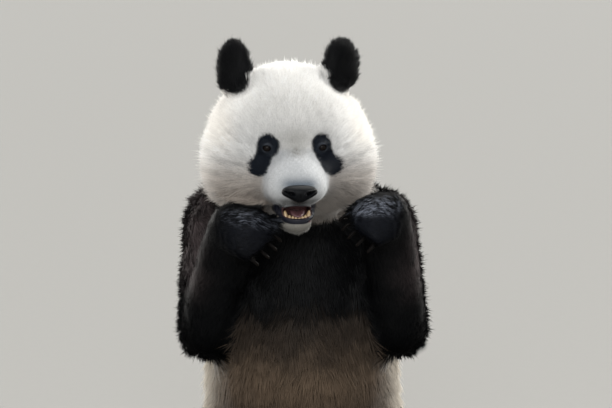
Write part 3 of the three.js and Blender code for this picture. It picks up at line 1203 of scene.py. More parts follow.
    def build(self) -> None:
        """Builds the skin and its painted attributes."""
        mesh = self.refined(self.gather())
        points = points_of(mesh)
        edges = read(mesh.edges, "vertices", 2, np.int32)
        self.owner = self.owners(points)
        local = self.head.inside(points)
        inward = unit(relax(normals_of(mesh), edges, 4))
        points = points - inward * self.depths(local, self.owner, edges)[:, None]
        points = relax(points, edges, 2)
        self.edges = edges
        points = self.face(points)
        place_points(mesh, points)
        self.mesh = mesh
        self.points, self.normals = points, normals_of(mesh)
        self.local = self.head.inside(points)
        self.paint()
        finish_piece("skin", mesh, BareSkin().make(), "white_coat", *FLESH)

    def share(self, *names: str) -> Array:
        """How much of each vertex belongs to the named solids, softened over the seams."""
        return relax(owned(self.owner, names).astype(float), self.edges, 4)

    def paint(self) -> None:
        """Writes the markings and the moist places as attributes."""
        limbs = [name for name in FLESH if name.startswith(LIMBS)]
        self.shares = [self.share(*names) for names in (HEAD_PARTS + EARS, EARS, limbs, ["tail"])]
        tone, _ = self.tones(self.points, self.local, self.shares)
        full = np.ones((len(tone), 4), np.float32)
        # The skin is painted at 0.8 of the markings: painted shade of the hair standing over it.
        full[:, :3] = tone * 0.8
        paint_colours(self.mesh, full)
        paint_values(self.mesh, "wet", np.maximum(*self.markings.on_lips(self.local)))

    def tones(self, points: Array, local: Array, shares: list) -> tuple[Array, Array]:
        """Colours of skin or tufts from their places and the parts that they belong to.

        Args:
            points: Places in the frame.
            local: The same places in the head's axes, in millimetres.
            shares: How much of each is head, ear, limb and tail.

        Returns:
            The colours, and how black each is from 0 to 1.
        """
        marks = self.markings
        head, ear, limb, tail = shares
        tone, dark = marks.on_trunk(points)
        face, face_dark = marks.on_head(local)
        is_head = rise(0.35, 0.65, head)
        tone, dark = mix(tone, face, is_head), dark * (1 - is_head) + face_dark * is_head
        for share, colour, edge in ((limb, marks.on_limbs(points), 0.45), (ear, marks.colour("ear"), 0.5)):
            is_part = rise(edge - 0.1, edge + 0.1, share)
            tone, dark = mix(tone, colour, is_part), dark * (1 - is_part) + is_part
        is_tail = rise(0.35, 0.65, tail)
        tone, dark = mix(tone, marks.colour("rump"), is_tail), dark * (1 - is_tail)
        return tone, dark


# ---------------------------------------------------------------- the soles


@dataclass
class SolePads:
    """The bare leather pads of one hind sole: a broad one across it and one under each toe."""

    side: str
    toe_mm: tuple[float, float] = (10.5, 9.0)
    ball_mm: tuple[float, float] = (37.0, 14.0)
    toe_share: float = 0.62
    toe_spread: float = 0.86
    ball_share: float = 0.12
    proud_mm: float = 6.5
    sunk_mm: float = 3.0
    reach: float = 0.12

    def __post_init__(self) -> None:
        """Finds the sole's plane and each pad's place in it, from the foot and its claws."""
        foot = f"hind_foot_{self.side}"
        self.centre = middle(foot)
        claws = [middle(f"{foot}_claw_{number}") - self.centre for number in range(1, 6)]
        self.ahead = unit((self.centre - middle(f"shin_{self.side}")) * np.array([1.0, 1.0, 0.0]))
        up = np.mean(claws, axis=0)
        self.up = unit(up - self.ahead * (up @ self.ahead))
        self.across = np.cross(self.up, self.ahead)
        high = float(np.mean([claw @ self.up for claw in claws]))
        self.pads = [((0.0, high * self.ball_share), self.ball_mm)]
        for claw in claws:
            place = (self.toe_spread * claw @ self.across, self.toe_share * claw @ self.up)
            self.pads.append((place, self.toe_mm))

    def cover(self, points: Array) -> Array:
        """Which places lie under a pad, on the front of the sole.

        Args:
            points: Places in the frame.

        Returns:
            True for each place under a pad.
        """
        rel = points - self.centre
        near = (np.linalg.norm(rel, axis=1) < self.reach) & (rel @ self.ahead > 0)
        under = np.zeros(len(points), bool)
        for (aside, high), (wide, tall) in self.pads:
            out = np.hypot((rel @ self.across - aside) / (wide * MM), (rel @ self.up - high) / (tall * MM))
            under |= out < 0.95
        return near & under

    def build(self, skin: Skin, material: Material) -> None:
        """Lays each pad on the skin as a low dome with its rim sunk in.

        Args:
            skin: The skin.
            material: The leather.
        """
        tree = BVHTree.FromPolygons(skin.points.tolist(), [list(p.vertices) for p in skin.mesh.polygons])
        bm = bmesh.new()
        for (aside, high), (wide, tall) in self.pads:
            dome = bmesh.ops.create_icosphere(bm, subdivisions=4, radius=1)["verts"]
            for vert in dome:
                x, y, z = vert.co
                flat = self.centre + self.across * (aside + x * wide * MM) + self.up * (high + y * tall * MM)
                hit = tree.ray_cast(Vector(flat + 0.2 * self.ahead), Vector(-self.ahead), 0.4)[0]
                depth = self.proud_mm * max(z, 0.0) ** 0.7 - self.sunk_mm * max(-z, 0.0)
                vert.co = (hit or Vector(flat)) + Vector(self.ahead * depth * MM)
        name = f"sole_pads_{self.side}"
        finish_piece(name, mesh_of(name, bm), material, "nose_leather")


# ---------------------------------------------------------------- the coat


@dataclass(frozen=True)
class Pelt:
    """One patch of coat.

    Args:
        name: The patch's name.
        parts: The solids that it covers.
        tufts: How many tufts it has.
        length_mm: The tufts' length.
        width_mm: Their width where they are widest.
        root_lift: How steeply they leave the skin, in degrees.
        tip_lift: How steeply their tips stand, in degrees.
        lock_mm: How far apart the locks are that the tips gather in.
        gather: How much the tips draw together, from 0 to 1.
        blotch: How much the tufts differ in tone, at random and as painted shade of the locks.
        wisp_lift: How many degrees more the finest tufts stand.
    """

    name: str
    parts: tuple[str, ...]
    tufts: int
    length_mm: float
    width_mm: float
    root_lift: float = 48.0
    tip_lift: float = 16.0
    lock_mm: float = 22.0
    gather: float = 0.5
    blotch: float = 0.06
    wisp_lift: float = 4.0


@dataclass
class TuftMould:
    """A closed three-sided tuft, pointed at both ends, that every tuft is cast from."""

    root_share: float = 0.34

    def __post_init__(self) -> None:
        """Models the tuft and reads its vertices and faces."""
        bm = bmesh.new()
        bmesh.ops.create_cone(bm, cap_ends=True, segments=3, radius1=1, radius2=0, depth=1 - self.root_share)
        bmesh.ops.poke(bm, faces=[f for f in bm.faces if f.normal.z < -0.9], offset=self.root_share)
        bmesh.ops.triangulate(bm, faces=bm.faces)
        bmesh.ops.recalc_face_normals(bm, faces=bm.faces)
        places = np.array([v.co for v in bm.verts])
        along = places[:, 2] - places[:, 2].min()
        self.along = along / along.max()
        self.across = places[:, 0]
        self.out = places[:, 1]
        self.faces = np.array([[v.index for v in f.verts] for f in bm.faces])
        bm.free()


@dataclass
class Stand:
    """Where the tufts of a pelt stand, one row for each root.

    Args:
        points: The roots, on the skin.
        normals: The skin's normals there.
        local: The roots in the head's axes, in millimetres.
        way: The lie of the hair.
        shares: How much of each root is head, ear, limb and tail.
        wisp: Which tufts are long fine wisps.
    """

    points: Array
    normals: Array
    local: Array
    way: Array
    shares: list[Array]
    wisp: Array


@dataclass
class Tufts:
    """Many tufts, one row each: vertices, their normals for shading, colours and places on the unwrap."""

    verts: Array
    shading: Array
    paint: Array
    uv: Array

    def some(self, chosen: Array) -> "Tufts":
        """The chosen tufts alone."""
        return Tufts(self.verts[chosen], self.shading[chosen], self.paint[chosen], self.uv[chosen])


@dataclass
class Coat:
    """All the tufts of hair over the skin.

    Args:
        skin: The skin that they grow from.
        seed: Which draw of chance.
        softness: How much of a tuft's shading is the skin's own, from 0 to 1.
        wisps: How many of the tufts are long fine wisps.
        patch_uv: How wide each tuft's patch is on the unwrap.
        fewest: The fewest tufts of one colour that make a piece.
        sunk: How deep the roots are in the skin.
        bend: How far the bend and the tip are along the tuft, one after the other.
        clear: The least height of the tufts over the floor.
        hub_mm: The place at the nose that the head's hair lies away from.
        lid_mm: How far out and how deep the bare lid margins reach from the eye's middle.
        nose_mm: How far the bare skin under the nose reaches each way from its middle.
    """

    skin: Skin
    seed: int = 7
    softness: float = 0.62
    wisps: float = 0.07
    patch_uv: float = 0.003
    fewest: int = 40
    sunk: float = 0.0012
    bend: tuple[float, float] = (0.38, 0.62)
    clear: float = 0.002
    hub_mm: tuple[float, float, float] = (0.0, -205.0, -38.0)
    lid_mm: tuple[float, float] = (10.0, 22.0)
    nose_mm: tuple[float, float, float] = (31.0, 22.0, 17.0)

    def __post_init__(self) -> None:
        """Makes the mould and both hairs, and works out each skin face's size, solid and lie."""
        self.mould = TuftMould()
        self.white = GuardHair("white_guard_hair", 0.62, 0.35, "#ffffff", 0.22).make()
        self.black = GuardHair("black_guard_hair", 0.52, 0.0, "#8f9bb8", 0.11).make()
        mesh = self.skin.mesh
        mesh.calc_loop_triangles()
        self.triangles = read(mesh.loop_triangles, "vertices", 3, np.int32)
        corner = self.skin.points[self.triangles]
        first, second = corner[:, 1] - corner[:, 0], corner[:, 2] - corner[:, 0]
        self.areas = np.linalg.norm(np.cross(first, second), axis=1) / 2
        self.centres = corner.mean(axis=1)
        self.local = self.skin.head.inside(self.centres)
        self.owner = self.skin.owner[self.triangles[:, 0]]
        self.lie = self.flow()
        self.bare = self.bareness()

    def limb_ways(self) -> dict[str, Array]:
        """The direction of the hair on each limb part, from its upper joint to its lower.

        Returns:
            Each part's name to its direction.
        """
        ways = {}
        for side in SIDES:
            for chain in (("upper_arm", "forearm", "forepaw"), ("thigh", "shin", "hind_foot")):
                names = [f"{part}_{side}" for part in chain]
                bend, end = meeting(names[0], names[1]), meeting(names[1], names[2])
                ways[names[0]] = unit(bend - middle(names[0]))
                ways[names[1]] = unit(end - bend)
                ways[names[2]] = unit(middle(names[2]) - end)
        return ways

    def flow(self) -> Array:
        """The lie of the hair at each skin vertex: away from the nose, and down the body and limbs.

        Returns:
            The directions.
        """
        skin = self.skin
        raw = np.zeros_like(skin.points)
        limbs = self.limb_ways()
        away = unit(skin.local - self.hub_mm)
        fall = rise(20, 150, skin.local[:, 1])[:, None] * np.array([0.0, 0.1, -1.3])
        on_head = skin.head.turned(unit(away + fall))
        low, high = CAD_BOX
        half = (high.x - low.x) / 2
        x, y, _ = skin.points.T
        down = np.stack([0.5 * x / half, 0.25 * np.sign(y), np.full(len(raw), -1.0)], axis=1)
        for number, name in enumerate(FLESH):
            mine = skin.owner == number
            if name in limbs:
                raw[mine] = limbs[name]
            elif name in HEAD_PARTS:
                raw[mine] = on_head[mine]
            elif name in EARS:
                root = middle(name) - np.array([0, 0, 0.07])
                raw[mine] = unit(skin.points[mine] - root)
            elif name == "neck":
                raw[mine] = unit(down[mine] + on_head[mine])
            elif name == "tail":
                raw[mine] = unit(np.array([0.0, 0.7, -0.7]))
            else:
                raw[mine] = unit(down[mine])
        even = tangent(relax(raw, skin.edges, 8), skin.normals)
        calm = tangent(relax(even, skin.edges, 45), skin.normals)
        paws = [f"{part}_{side}" for side in SIDES for part in ("forearm", "forepaw")]
        share = relax(owned(skin.owner, paws).astype(float), skin.edges, 6)[:, None]
        return tangent(even + (calm - even) * share, skin.normals)

    def bareness(self) -> Array:
        """Which skin triangles grow no hair: mouth, lid margins, and under the nose leather and sole pads.

        Returns:
            True for each bare triangle.
        """
        marks = self.skin.markings
        bare = np.maximum(*marks.on_lips(self.local)) > 0.4
        for side in Side:
            eye = self.skin.head.of_solid(f"eye_{side.word}")
            rel = self.local - eye
            bare |= (np.hypot(rel[:, 0], rel[:, 2]) < self.lid_mm[0]) & (np.abs(rel[:, 1]) < self.lid_mm[1])
        nose = self.skin.head.of_solid("nose")
        rel = (self.local - nose) / self.nose_mm
        bare |= np.linalg.norm(rel, axis=1) < 1
        for side in SIDES:
            bare |= SolePads(side).cover(self.centres)
        return bare

    def roots(self, pelt: Pelt, draw: np.random.Generator) -> tuple[Array, Array]:
        """Spreads a pelt's roots evenly over its part of the skin.

        Args:
            pelt: The pelt.
            draw: The source of chance.

        Returns:
            The triangle of each root, and its shares of the three corners.
        """
        mine = np.flatnonzero(owned(self.owner, pelt.parts) & ~self.bare & self.within(pelt.name))
        total = np.cumsum(self.areas[mine] * self.thickness(mine))
        step = total[-1] / pelt.tufts
        marks = (np.arange(pelt.tufts) + draw.uniform(0, 1, pelt.tufts)) * step
        chosen = mine[np.minimum(np.searchsorted(total, marks), len(mine) - 1)]
        first, second = np.sqrt(draw.uniform(0, 1, pelt.tufts)), draw.uniform(0, 1, pelt.tufts)
        shares = np.stack([1 - first, first * (1 - second), first * second], axis=1)
        return chosen, shares

    def within(self, name: str) -> Array:
        """Which skin triangles lie in a part of the head: muzzle, face or crown; all else is one.

        Args:
            name: The pelt's name.

        Returns:
            True for each triangle in that part.
        """
        x, y, z = self.local.T
        snout = (np.hypot(x, z + 42) < 66) & (y < -100)
        front = (y < 0) & ~snout
        left = x > 0
        table = {"muzzle": snout, "face_left": front & left, "face_right": front & ~left, "crown": y >= 0}
        return table.get(name, np.ones(len(x), bool))

    def thickness(self, chosen: Array) -> Array:
        """How densely the hair stands: more of it where it is short, round the eyes and snout.

        Args:
            chosen: The skin triangles.

        Returns:
            The density, 1 where it is plain.
        """
        x, y, z = self.local[chosen].T
        short = rise(95, 40, np.hypot(np.abs(x) - 40, z - 10)) * rise(-50, -90, y)
        belly = rise(0.0, -0.08, self.centres[chosen, 1]) * owned(self.owner[chosen], ["trunk"])
        return 1 + 1.6 * short + 0.7 * belly

    def lengths(self, local: Array, pelt: Pelt) -> Array:
        """The length of the hair at each root, in metres.

        Args:
            local: The roots in the head's axes, in millimetres.
            pelt: The pelt.

        Returns:
            The lengths.
        """
        full = np.full(len(local), pelt.length_mm)
        if not pelt.name.startswith(("face", "crown", "muzzle")):
            return full * MM
        x, y, z = local.T
        wide = np.abs(x)
        nape = 0.6 * rise(20, 90, y)
        ruff = rise(70, 125, wide) * rise(70, 0, z) + nape + 0.5 * rise(60, -20, z) * rise(40, 110, y)
        full = full * (1 + 0.55 * np.clip(ruff, 0, 1))
        full = full * (1 - 0.62 * (rise(100, 30, np.hypot(wide - 35, z - 15)) * rise(-40, -95, y)))
        full = full * (1 - 0.7 * rise(1.9, 1.15, self.skin.markings.ear_foot(local)))
        snout = rise(85, 62, np.hypot(wide, z + 42)) * rise(-80, -115, y)
        full = full + (8.0 - full) * snout
        full = full * (1 - 0.45 * snout * rise(-140, -185, y))
        full = full * (1 - 0.55 * rise(-62, -100, z))
        patch = self.skin.markings.patch(local)
        edge = rise(0.5, 0.95, patch) * rise(1.35, 1.1, patch)
        return full * (1 - 0.2 * edge * rise(-20, -60, y)) * MM

    def folded(self, points: Array, pelt: Pelt) -> Array:
        """How near each root is to the bent wrist, where the hair lies short and flat, from 0 to 1.

        Args:
            points: The roots.
            pelt: The pelt.

        Returns:
            The nearness.
        """
        if not pelt.name.startswith(("forepaw", "forearm")):
            return np.zeros(len(points))
        side = pelt.name.split("_")[1]
        wrist = meeting(f"forearm_{side}", f"forepaw_{side}")
        return rise(0.095, 0.045, np.linalg.norm(points - wrist, axis=1))

    def standing(self, local: Array, pelt: Pelt) -> Array:
        """How many degrees more the hair stands: it is raised in the ruff round the cheeks.

        Args:
            local: The roots in the head's axes, in millimetres.
            pelt: The pelt.

        Returns:
            The degrees.
        """
        if not pelt.name.startswith(("face", "crown")):
            return np.zeros(len(local))
        wide = np.abs(local[:, 0])
        return 15 * rise(95, 145, wide) * rise(130, 60, local[:, 2])

    def paw_glint_streaks(self, points: Array, normals: Array, crest: Array) -> Array:
        """How much of each tuft is one of the pale streaks on top of the raised forepaws, a painted
        highlight where the glossy hair faces the light from above.

        The left paw has more of them.

        Args:
            points: The roots.
            normals: The skin's normals there.
            crest: How high each tuft is on its lock.

        Returns:
            The shares, from 0 to 1.
        """
        fine = Ripple(0.006, 91, 20).height(points)
        left = rise(0.0, 0.05, points[:, 0])
        top = rise(0.28 - 0.12 * left, 0.9 - 0.2 * left, normals[:, 2]) * rise(-0.16, -0.22, points[:, 1])
        return (0.62 + 0.33 * left) * top * rise(-0.2, 1.4, fine + 0.6 * crest + 0.6 * left)

    def streaks(self, local: Array, pelt: Pelt) -> Array:
        """How much lighter or darker the hair is in streaks along its lie, on the cheeks.

        Args:
            local: The roots in the head's axes, in millimetres.
            pelt: The pelt.

        Returns:
            The change in tone, as a share.
        """
        if not pelt.name.startswith(("face", "crown")):
            return np.zeros(len(local))
        rays = unit(local - self.hub_mm)
        fine = Ripple(0.03, 81, 20).height(rays) + 0.7 * Ripple(0.07, 82, 20).height(rays)
        wide = np.abs(local[:, 0])
        return 0.1 * fine * rise(55, 95, wide) * rise(90, 20, local[:, 2])

    def unwrap(self, pelt: Pelt) -> Array:
        """Unwraps the skin of a pelt by its own shape.

        Args:
            pelt: The pelt.

        Returns:
            For every skin triangle, the three corners' places on the unwrap.
        """
        mine = np.flatnonzero(owned(self.owner, pelt.parts) & self.within(pelt.name))
        used, back = np.unique(self.triangles[mine], return_inverse=True)
        mesh = bpy.data.meshes.new("unwrap")
        mesh.from_pydata(self.skin.points[used].tolist(), [], back.reshape(-1, 3).tolist())
        piece = link_mesh("unwrap", mesh, None)
        view = bpy.context.view_layer
        view.objects.active = piece
        piece.select_set(True)
        bpy.ops.object.mode_set(mode="EDIT")
        bpy.ops.mesh.select_all(action="SELECT")
        bpy.ops.uv.smart_project(angle_limit=math.radians(72), island_margin=0.003)
        bpy.ops.object.mode_set(mode="OBJECT")
        full = np.zeros((len(self.triangles), 3, 2))
        full[mine] = read(mesh.uv_layers.active.data, "uv", 2, np.float32).reshape(-1, 3, 2)
        bpy.data.objects.remove(piece)
        return full

    def lifted(self, long: Array, way: Array, normals: Array, lift: Array) -> Array:
        """Steps of these lengths along the lie, lifted off the skin by an angle."""
        return long[:, None] * (way * np.cos(lift)[:, None] + normals * np.sin(lift)[:, None])

    def shapes(
        self, line: tuple[Array, ...], wide: Array, side: Array, normals: Array
    ) -> tuple[Array, Array]:
        """Bends the mould along each tuft's line.

        Args:
            line: Each tuft's root, bend and tip.
            wide: Its width.
            side: The way across it.
            normals: The skin's normal at its root.

        Returns:
            Each tuft's vertices, and their normals for shading.
        """
        start, bend, tip = (rows[:, None] for rows in line)
        mould = self.mould
        t = mould.along[None, :, None]
        curve = start * (1 - t) ** 2 + bend * 2 * t * (1 - t) + tip * t**2
        heading = unit(line[2] - line[1])
        over = np.cross(heading, side)
        over = np.where((np.sum(over * normals, axis=1) < 0)[:, None], -over, over)
        half = (wide / 2)[:, None, None]
        across = mould.across[None, :, None] * side[:, None] * half
        out = mould.out[None, :, None] * over[:, None] * half * 0.6
        lean = unit(across + out * 1.6 + 1e-9 * normals[:, None]) * (1 - self.softness)
        shading = unit(normals[:, None] * self.softness + lean + 0.15 * heading[:, None])
        ends = (mould.along < 0.01) | (mould.along > 0.99)
        shading[:, ends] = unit(normals + 0.25 * heading)[:, None]
        return curve + across + out, shading

    def stand(
        self, pelt: Pelt, number: int, chosen: Array, thirds: Array, draw: np.random.Generator
    ) -> Stand:
        """Reads the skin at a pelt's roots and turns the lie a little from tuft to tuft.

        Args:
            pelt: The pelt.
            number: Its place in the list.
            chosen: The triangle of each root.
            thirds: Its shares of the three corners.
            draw: The source of chance.

        Returns:
            Where the tufts stand.
        """
        corners = self.triangles[chosen]

        def at(rows: Array) -> Array:
            """Reads a value of the skin's vertices at the roots."""
            return np.einsum("nk,nk...->n...", thirds, rows[corners])

        skin = self.skin
        points, normals = at(skin.points), unit(at(skin.normals))
        way = tangent(at(self.lie), normals)
        strays = Ripple(pelt.lock_mm * 3.1 * MM, 51 + number, 10)
        turn = 0.16 * strays.height(points) + draw.normal(0, 0.13, pelt.tufts)
        way = unit(way + np.cross(normals, way) * turn[:, None])
        wisp = draw.uniform(0, 1, pelt.tufts) < self.wisps
        shares = [at(share) for share in skin.shares]
        return Stand(points, normals, skin.head.inside(points), way, shares, wisp)

    def run(self, pelt: Pelt, roots: Stand, locks: Ripple, draw: np.random.Generator) -> tuple:
        """Runs each tuft from its root over its bend to its tip, gathered in locks.

        Args:
            pelt: The pelt.
            roots: Where the tufts stand.
            locks: The field that gathers them.
            draw: The source of chance.

        Returns:
            The roots, bends and tips, each tuft's length, and how high it is on its lock.
        """
        points, normals, way, size = roots.points, roots.normals, roots.way, pelt.tufts
        fold = self.folded(points, pelt)
        stray = np.where(roots.wisp, 1.2, 1.0)
        long = self.lengths(roots.local, pelt) * draw.uniform(0.78, 1.15, size) * stray
        head, _, limb, _ = roots.shares
        touch = rise(0.0, 0.12, head * limb)
        long = long * (1 - 0.3 * fold) * (1 - 0.65 * touch)
        if pelt.name in ("neck", "trunk"):
            under_jaw = rise(0.02, 0.35, head) * rise(0.02, -0.04, points[:, 1])
            long = long * (1 - 0.65 * under_jaw) * (1 - 0.3 * rise(0.0, 0.4, head))
        crest = np.clip(locks.height(points), -2, 2)
        raised = np.where(roots.wisp, pelt.wisp_lift, 0)
        lift = self.standing(roots.local, pelt) + raised - 8 * fold - 10 * touch
        gathered = 8 * pelt.gather * crest
        root_lift = np.radians(pelt.root_lift + 0.5 * lift + gathered + draw.normal(0, 4, size))
        tip_lift = np.radians(pelt.tip_lift + lift + gathered + draw.normal(0, 4, size))
        start = points - normals * self.sunk
        bend = start + self.lifted(self.bend[0] * long, way, normals, root_lift)
        tip = bend + self.lifted(self.bend[1] * long, way, normals, tip_lift)
        reach = np.minimum(long, pelt.lock_mm * MM)[:, None]
        tip = tip + tangent(locks.slope(points), normals) * reach * (0.35 * pelt.gather)
        for rows, floor in ((tip, self.clear), (bend, self.clear), (start, self.clear / 2)):
            rows[:, 2] = np.maximum(rows[:, 2], floor)
        return (start, bend, tip), long, crest

    def tints(
        self, pelt: Pelt, roots: Stand, long: Array, crest: Array, draw: np.random.Generator
    ) -> tuple[Array, Array]:
        """Colours each tuft by the markings at its middle, darker towards its root: partly the hair's own
        root colour, partly painted shade deep in the coat.

        Args:
            pelt: The pelt.
            roots: Where the tufts stand.
            long: Each tuft's length.
            crest: How high it is on its lock.
            draw: The source of chance.

        Returns:
            The colour of every vertex of the tufts, and which tufts are black.
        """
        size, skin = pelt.tufts, self.skin
        jitter = draw.normal(0, 1, (size, 3)) * np.minimum(long * 0.15, 0.0036)[:, None]
        seen = roots.points + jitter + roots.way * (0.34 * long)[:, None]
        tone, dark = skin.tones(seen, skin.head.inside(seen), roots.shares)
        # Painted highlight on the forepaws: pale bluish streaks on top, where the hair faces the light from
        # above.
        if pelt.name.startswith(("forepaw", "forearm")):
            wet = self.paw_glint_streaks(roots.points, roots.normals, crest)
            tone = mix(tone, skin.markings.colour("paw_glint_streaks"), wet * draw.uniform(0.2, 1, size))
        dark = dark > 0.5
        rough = 0.24 if pelt.name.startswith(("upper_arm", "thigh", "trunk")) else 0.16
        spread = np.where(dark, rough, pelt.blotch)
        streaks = self.streaks(roots.local, pelt)
        # Tufts high on their lock are lighter and those in its hollows darker, painted shade of the locks,
        # over random tone.
        shade = spread * draw.normal(0, 1, size) + 0.5 * pelt.blotch * crest + streaks
        tone = tone * np.clip(1 + shade, 0.3, 1.6)[:, None]
        # Darker at the root: partly the hair's own colour, partly painted shade deep in the coat.
        root_shade_and_tip_fade = 0.72 + 0.34 * self.mould.along
        paint = np.ones((size, len(root_shade_and_tip_fade), 4), np.float32)
        paint[..., :3] = np.clip(tone[:, None] * root_shade_and_tip_fade[None, :, None], 0, 0.96)
        return paint, dark

    def grow(self, pelt: Pelt, number: int) -> None:
        """Grows one pelt, as a white piece and a black piece where it has both.

        Args:
            pelt: The pelt.
            number: Its place in the list, for the draw.
        """
        draw = np.random.default_rng(self.seed + number)
        chosen, thirds = self.roots(pelt, draw)
        roots = self.stand(pelt, number, chosen, thirds, draw)
        line, long, crest = self.run(pelt, roots, Ripple(pelt.lock_mm * MM, 11 + number), draw)
        wide = pelt.width_mm * MM * np.clip(long / (pelt.length_mm * MM), 0.45, 1.2)
        wide = wide * draw.uniform(0.8, 1.2, pelt.tufts) * np.where(roots.wisp, 0.7, 1.0)
        verts, shading = self.shapes(line, wide, np.cross(roots.normals, roots.way), roots.normals)
        paint, dark = self.tints(pelt, roots, long, crest, draw)
        spot = np.einsum("nk,nkc->nc", thirds, self.unwrap(pelt)[chosen])
        mould = self.mould
        offset = np.stack([mould.across * 0.45, mould.along - 0.5], axis=1) * self.patch_uv
        tufts = Tufts(verts, shading, paint, spot[:, None] + offset[None])
        white_slot = "belly_coat" if pelt.name == "trunk" else "white_coat"
        for word, mine, material, slot in (
            ("white", ~dark, self.white, white_slot),
            ("black", dark, self.black, "black_coat"),
        ):
            if mine.sum() >= self.fewest:
                self.cast(f"coat_{pelt.name}_{word}", tufts.some(mine), material, slot)

    def cast(self, name: str, tufts: Tufts, material: Material, slot: str) -> None:
        """Joins tufts in one mesh.

        Args:
            name: The piece's name.
            tufts: The tufts.
            material: The piece's material.
            slot: The record's slot.
        """
        count, per = tufts.verts.shape[:2]
        loops = (self.mould.faces[None] + (np.arange(count) * per)[:, None, None]).astype(np.int32)
        faces = count * len(self.mould.faces)
        mesh = bpy.data.meshes.new(name)
        mesh.vertices.add(count * per)
        mesh.vertices.foreach_set("co", tufts.verts.astype(np.float32).ravel())
        mesh.loops.add(faces * 3)
        mesh.loops.foreach_set("vertex_index", loops.ravel())
        mesh.polygons.add(faces)
        mesh.polygons.foreach_set("loop_start", np.arange(0, faces * 3, 3, dtype=np.int32))
        mesh.polygons.foreach_set("use_smooth", np.ones(faces, bool))
        mesh.update(calc_edges=True)
        paint_colours(mesh, tufts.paint)
        rows = tufts.uv.reshape(-1, 2)[loops.ravel()]
        mesh.uv_layers.new(name="OFBake").data.foreach_set("uv", rows.astype(np.float32).ravel())
        mesh.normals_split_custom_set_from_vertices(tufts.shading.reshape(-1, 3).astype(np.float32))
        finish_piece(name, mesh, material, slot)

    def build(self) -> None:
        """Grows every pelt."""
        for number, pelt in enumerate(PELTS):
            self.grow(pelt, number)


PELTS = [
    Pelt("muzzle", HEAD_PARTS, 18000, 8, 1.3, 34, 10, 9, 0.3, 0.03),
    Pelt("face_left", HEAD_PARTS, 30000, 26, 1.8, 44, 14, 15, 0.28, 0.035, 11),
    Pelt("face_right", HEAD_PARTS, 30000, 26, 1.8, 44, 14, 15, 0.28, 0.035, 11),
    Pelt("crown", HEAD_PARTS, 21000, 26, 2.4, 46, 16, 18, 0.35, 0.04, 11),
    Pelt("ears", EARS, 12000, 19, 1.4, 44, 24, 10, 0.4, 0.06, 14),
    Pelt("neck", ("neck",), 8500, 40, 3.0, 42, 14, 24, 0.45),
    Pelt("trunk", ("trunk",), 30000, 44, 3.5, 38, 11, 28, 0.42),
    Pelt("tail", ("tail",), 2500, 34, 3.4),
]
for SIDE in SIDES:
    PELTS += [
        Pelt(f"upper_arm_{SIDE}", (f"upper_arm_{SIDE}",), 10500, 36, 2.5, 36, 8, 20, 0.36),
        Pelt(f"forearm_{SIDE}", (f"forearm_{SIDE}",), 12500, 30, 2.3, 34, 6, 14, 0.22),
        Pelt(f"forepaw_{SIDE}", (f"forepaw_{SIDE}",), 8500, 24, 1.9, 42, 14, 12, 0.45),
        Pelt(f"thigh_{SIDE}", (f"thigh_{SIDE}",), 7500, 44, 4.2, 42, 11, 22, 0.45),
        Pelt(f"shin_{SIDE}", (f"shin_{SIDE}",), 4000, 36, 3.6, 44, 12, 20, 0.45),
        Pelt(f"hind_foot_{SIDE}", (f"hind_foot_{SIDE}",), 6000, 16, 2.4, 40, 16, 14, 0.5),
    ]


# ---------------------------------------------------------------- eyes, nose, teeth, tongue and claws


@dataclass(frozen=True)
class WetEye(Finish):
    """The wet front of a dark brown eye: clear cornea over pigmented iris, so it glints sharply.

    The rings come from the "gaze" attribute, the angle from the eye's own axis.
    """

    name: str = "wet_brown_eye"
    pupil: str = "#040303"
    iris: str = "#110906"
    iris_rim: str = "#070404"
    white: str = "#14100f"
    rings: tuple[float, float, float] = (11.0, 30.0, 36.0)

    def surface(self, tree: Tree) -> dict:
        """Colours pupil, iris and white by the angle from the eye's axis.

        Args:
            tree: The material's node tree.

        Returns:
            The inputs by name.
        """
        gaze = self.painted(tree, "gaze").outputs["Fac"]
        share = add(tree, "ShaderNodeMath", {0: gaze, 1: 90.0}, operation="DIVIDE")
        rings = add(tree, "ShaderNodeValToRGB", {"Fac": share.outputs[0]})
        pupil, iris, rim = (angle / 90 for angle in self.rings)
        ramp = rings.color_ramp
        for place, colour in ((pupil + 0.03, self.iris), (iris, self.iris_rim), (rim, self.white)):
            ramp.elements.new(place).color = (*linear(colour), 1)
        ramp.elements[0].color = (*linear(self.pupil), 1)
        ramp.elements[-1].color = (*linear(self.white), 1)
        return {
            "Base Color": rings.outputs["Color"],
            "Roughness": 0.14,
            "IOR": 1.376,
            "Specular IOR Level": 0.16,
            "Coat Weight": 0.06,
            "Coat Roughness": 0.03,
        }


@dataclass
class Eyes:
    """The two eyeballs, each with its cornea's bulge."""

    bulge_mm: float = 1.1
    cornea_angle: float = 34.0
    gaze: tuple[float, float] = (0.16, -0.03)

    def build(self) -> None:
        """Models both eyes in the places of their solids."""
        material = WetEye().make()
        head = HeadFrame()
        for side in Side:
            node = f"eye_{side.word}"
            low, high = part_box(node)
            radius = (high.z - low.z) / 2
            way = Vector(head.turned(unit(np.array([self.gaze[0] * side.value, -1.0, self.gaze[1]]))))
            bm = bmesh.new()
            bmesh.ops.create_uvsphere(bm, u_segments=36, v_segments=24, radius=radius)
            angles = [math.degrees(v.co.angle(Vector((0, 0, 1)), 0.0)) for v in bm.verts]
            for vert, angle in zip(bm.verts, angles):
                vert.co *= 1 + self.bulge_mm * MM / radius * math.exp(-((angle / self.cornea_angle) ** 4))
            turn = way.to_track_quat("Z", "Y").to_matrix().to_4x4()
            bmesh.ops.transform(bm, matrix=Matrix.Translation((low + high) / 2) @ turn, verts=bm.verts)
            name = f"eyeball_{side.word}"
            mesh = mesh_of(name, bm)
            paint_values(mesh, "gaze", angles)
            finish_piece(name, mesh, material, "eye", node)


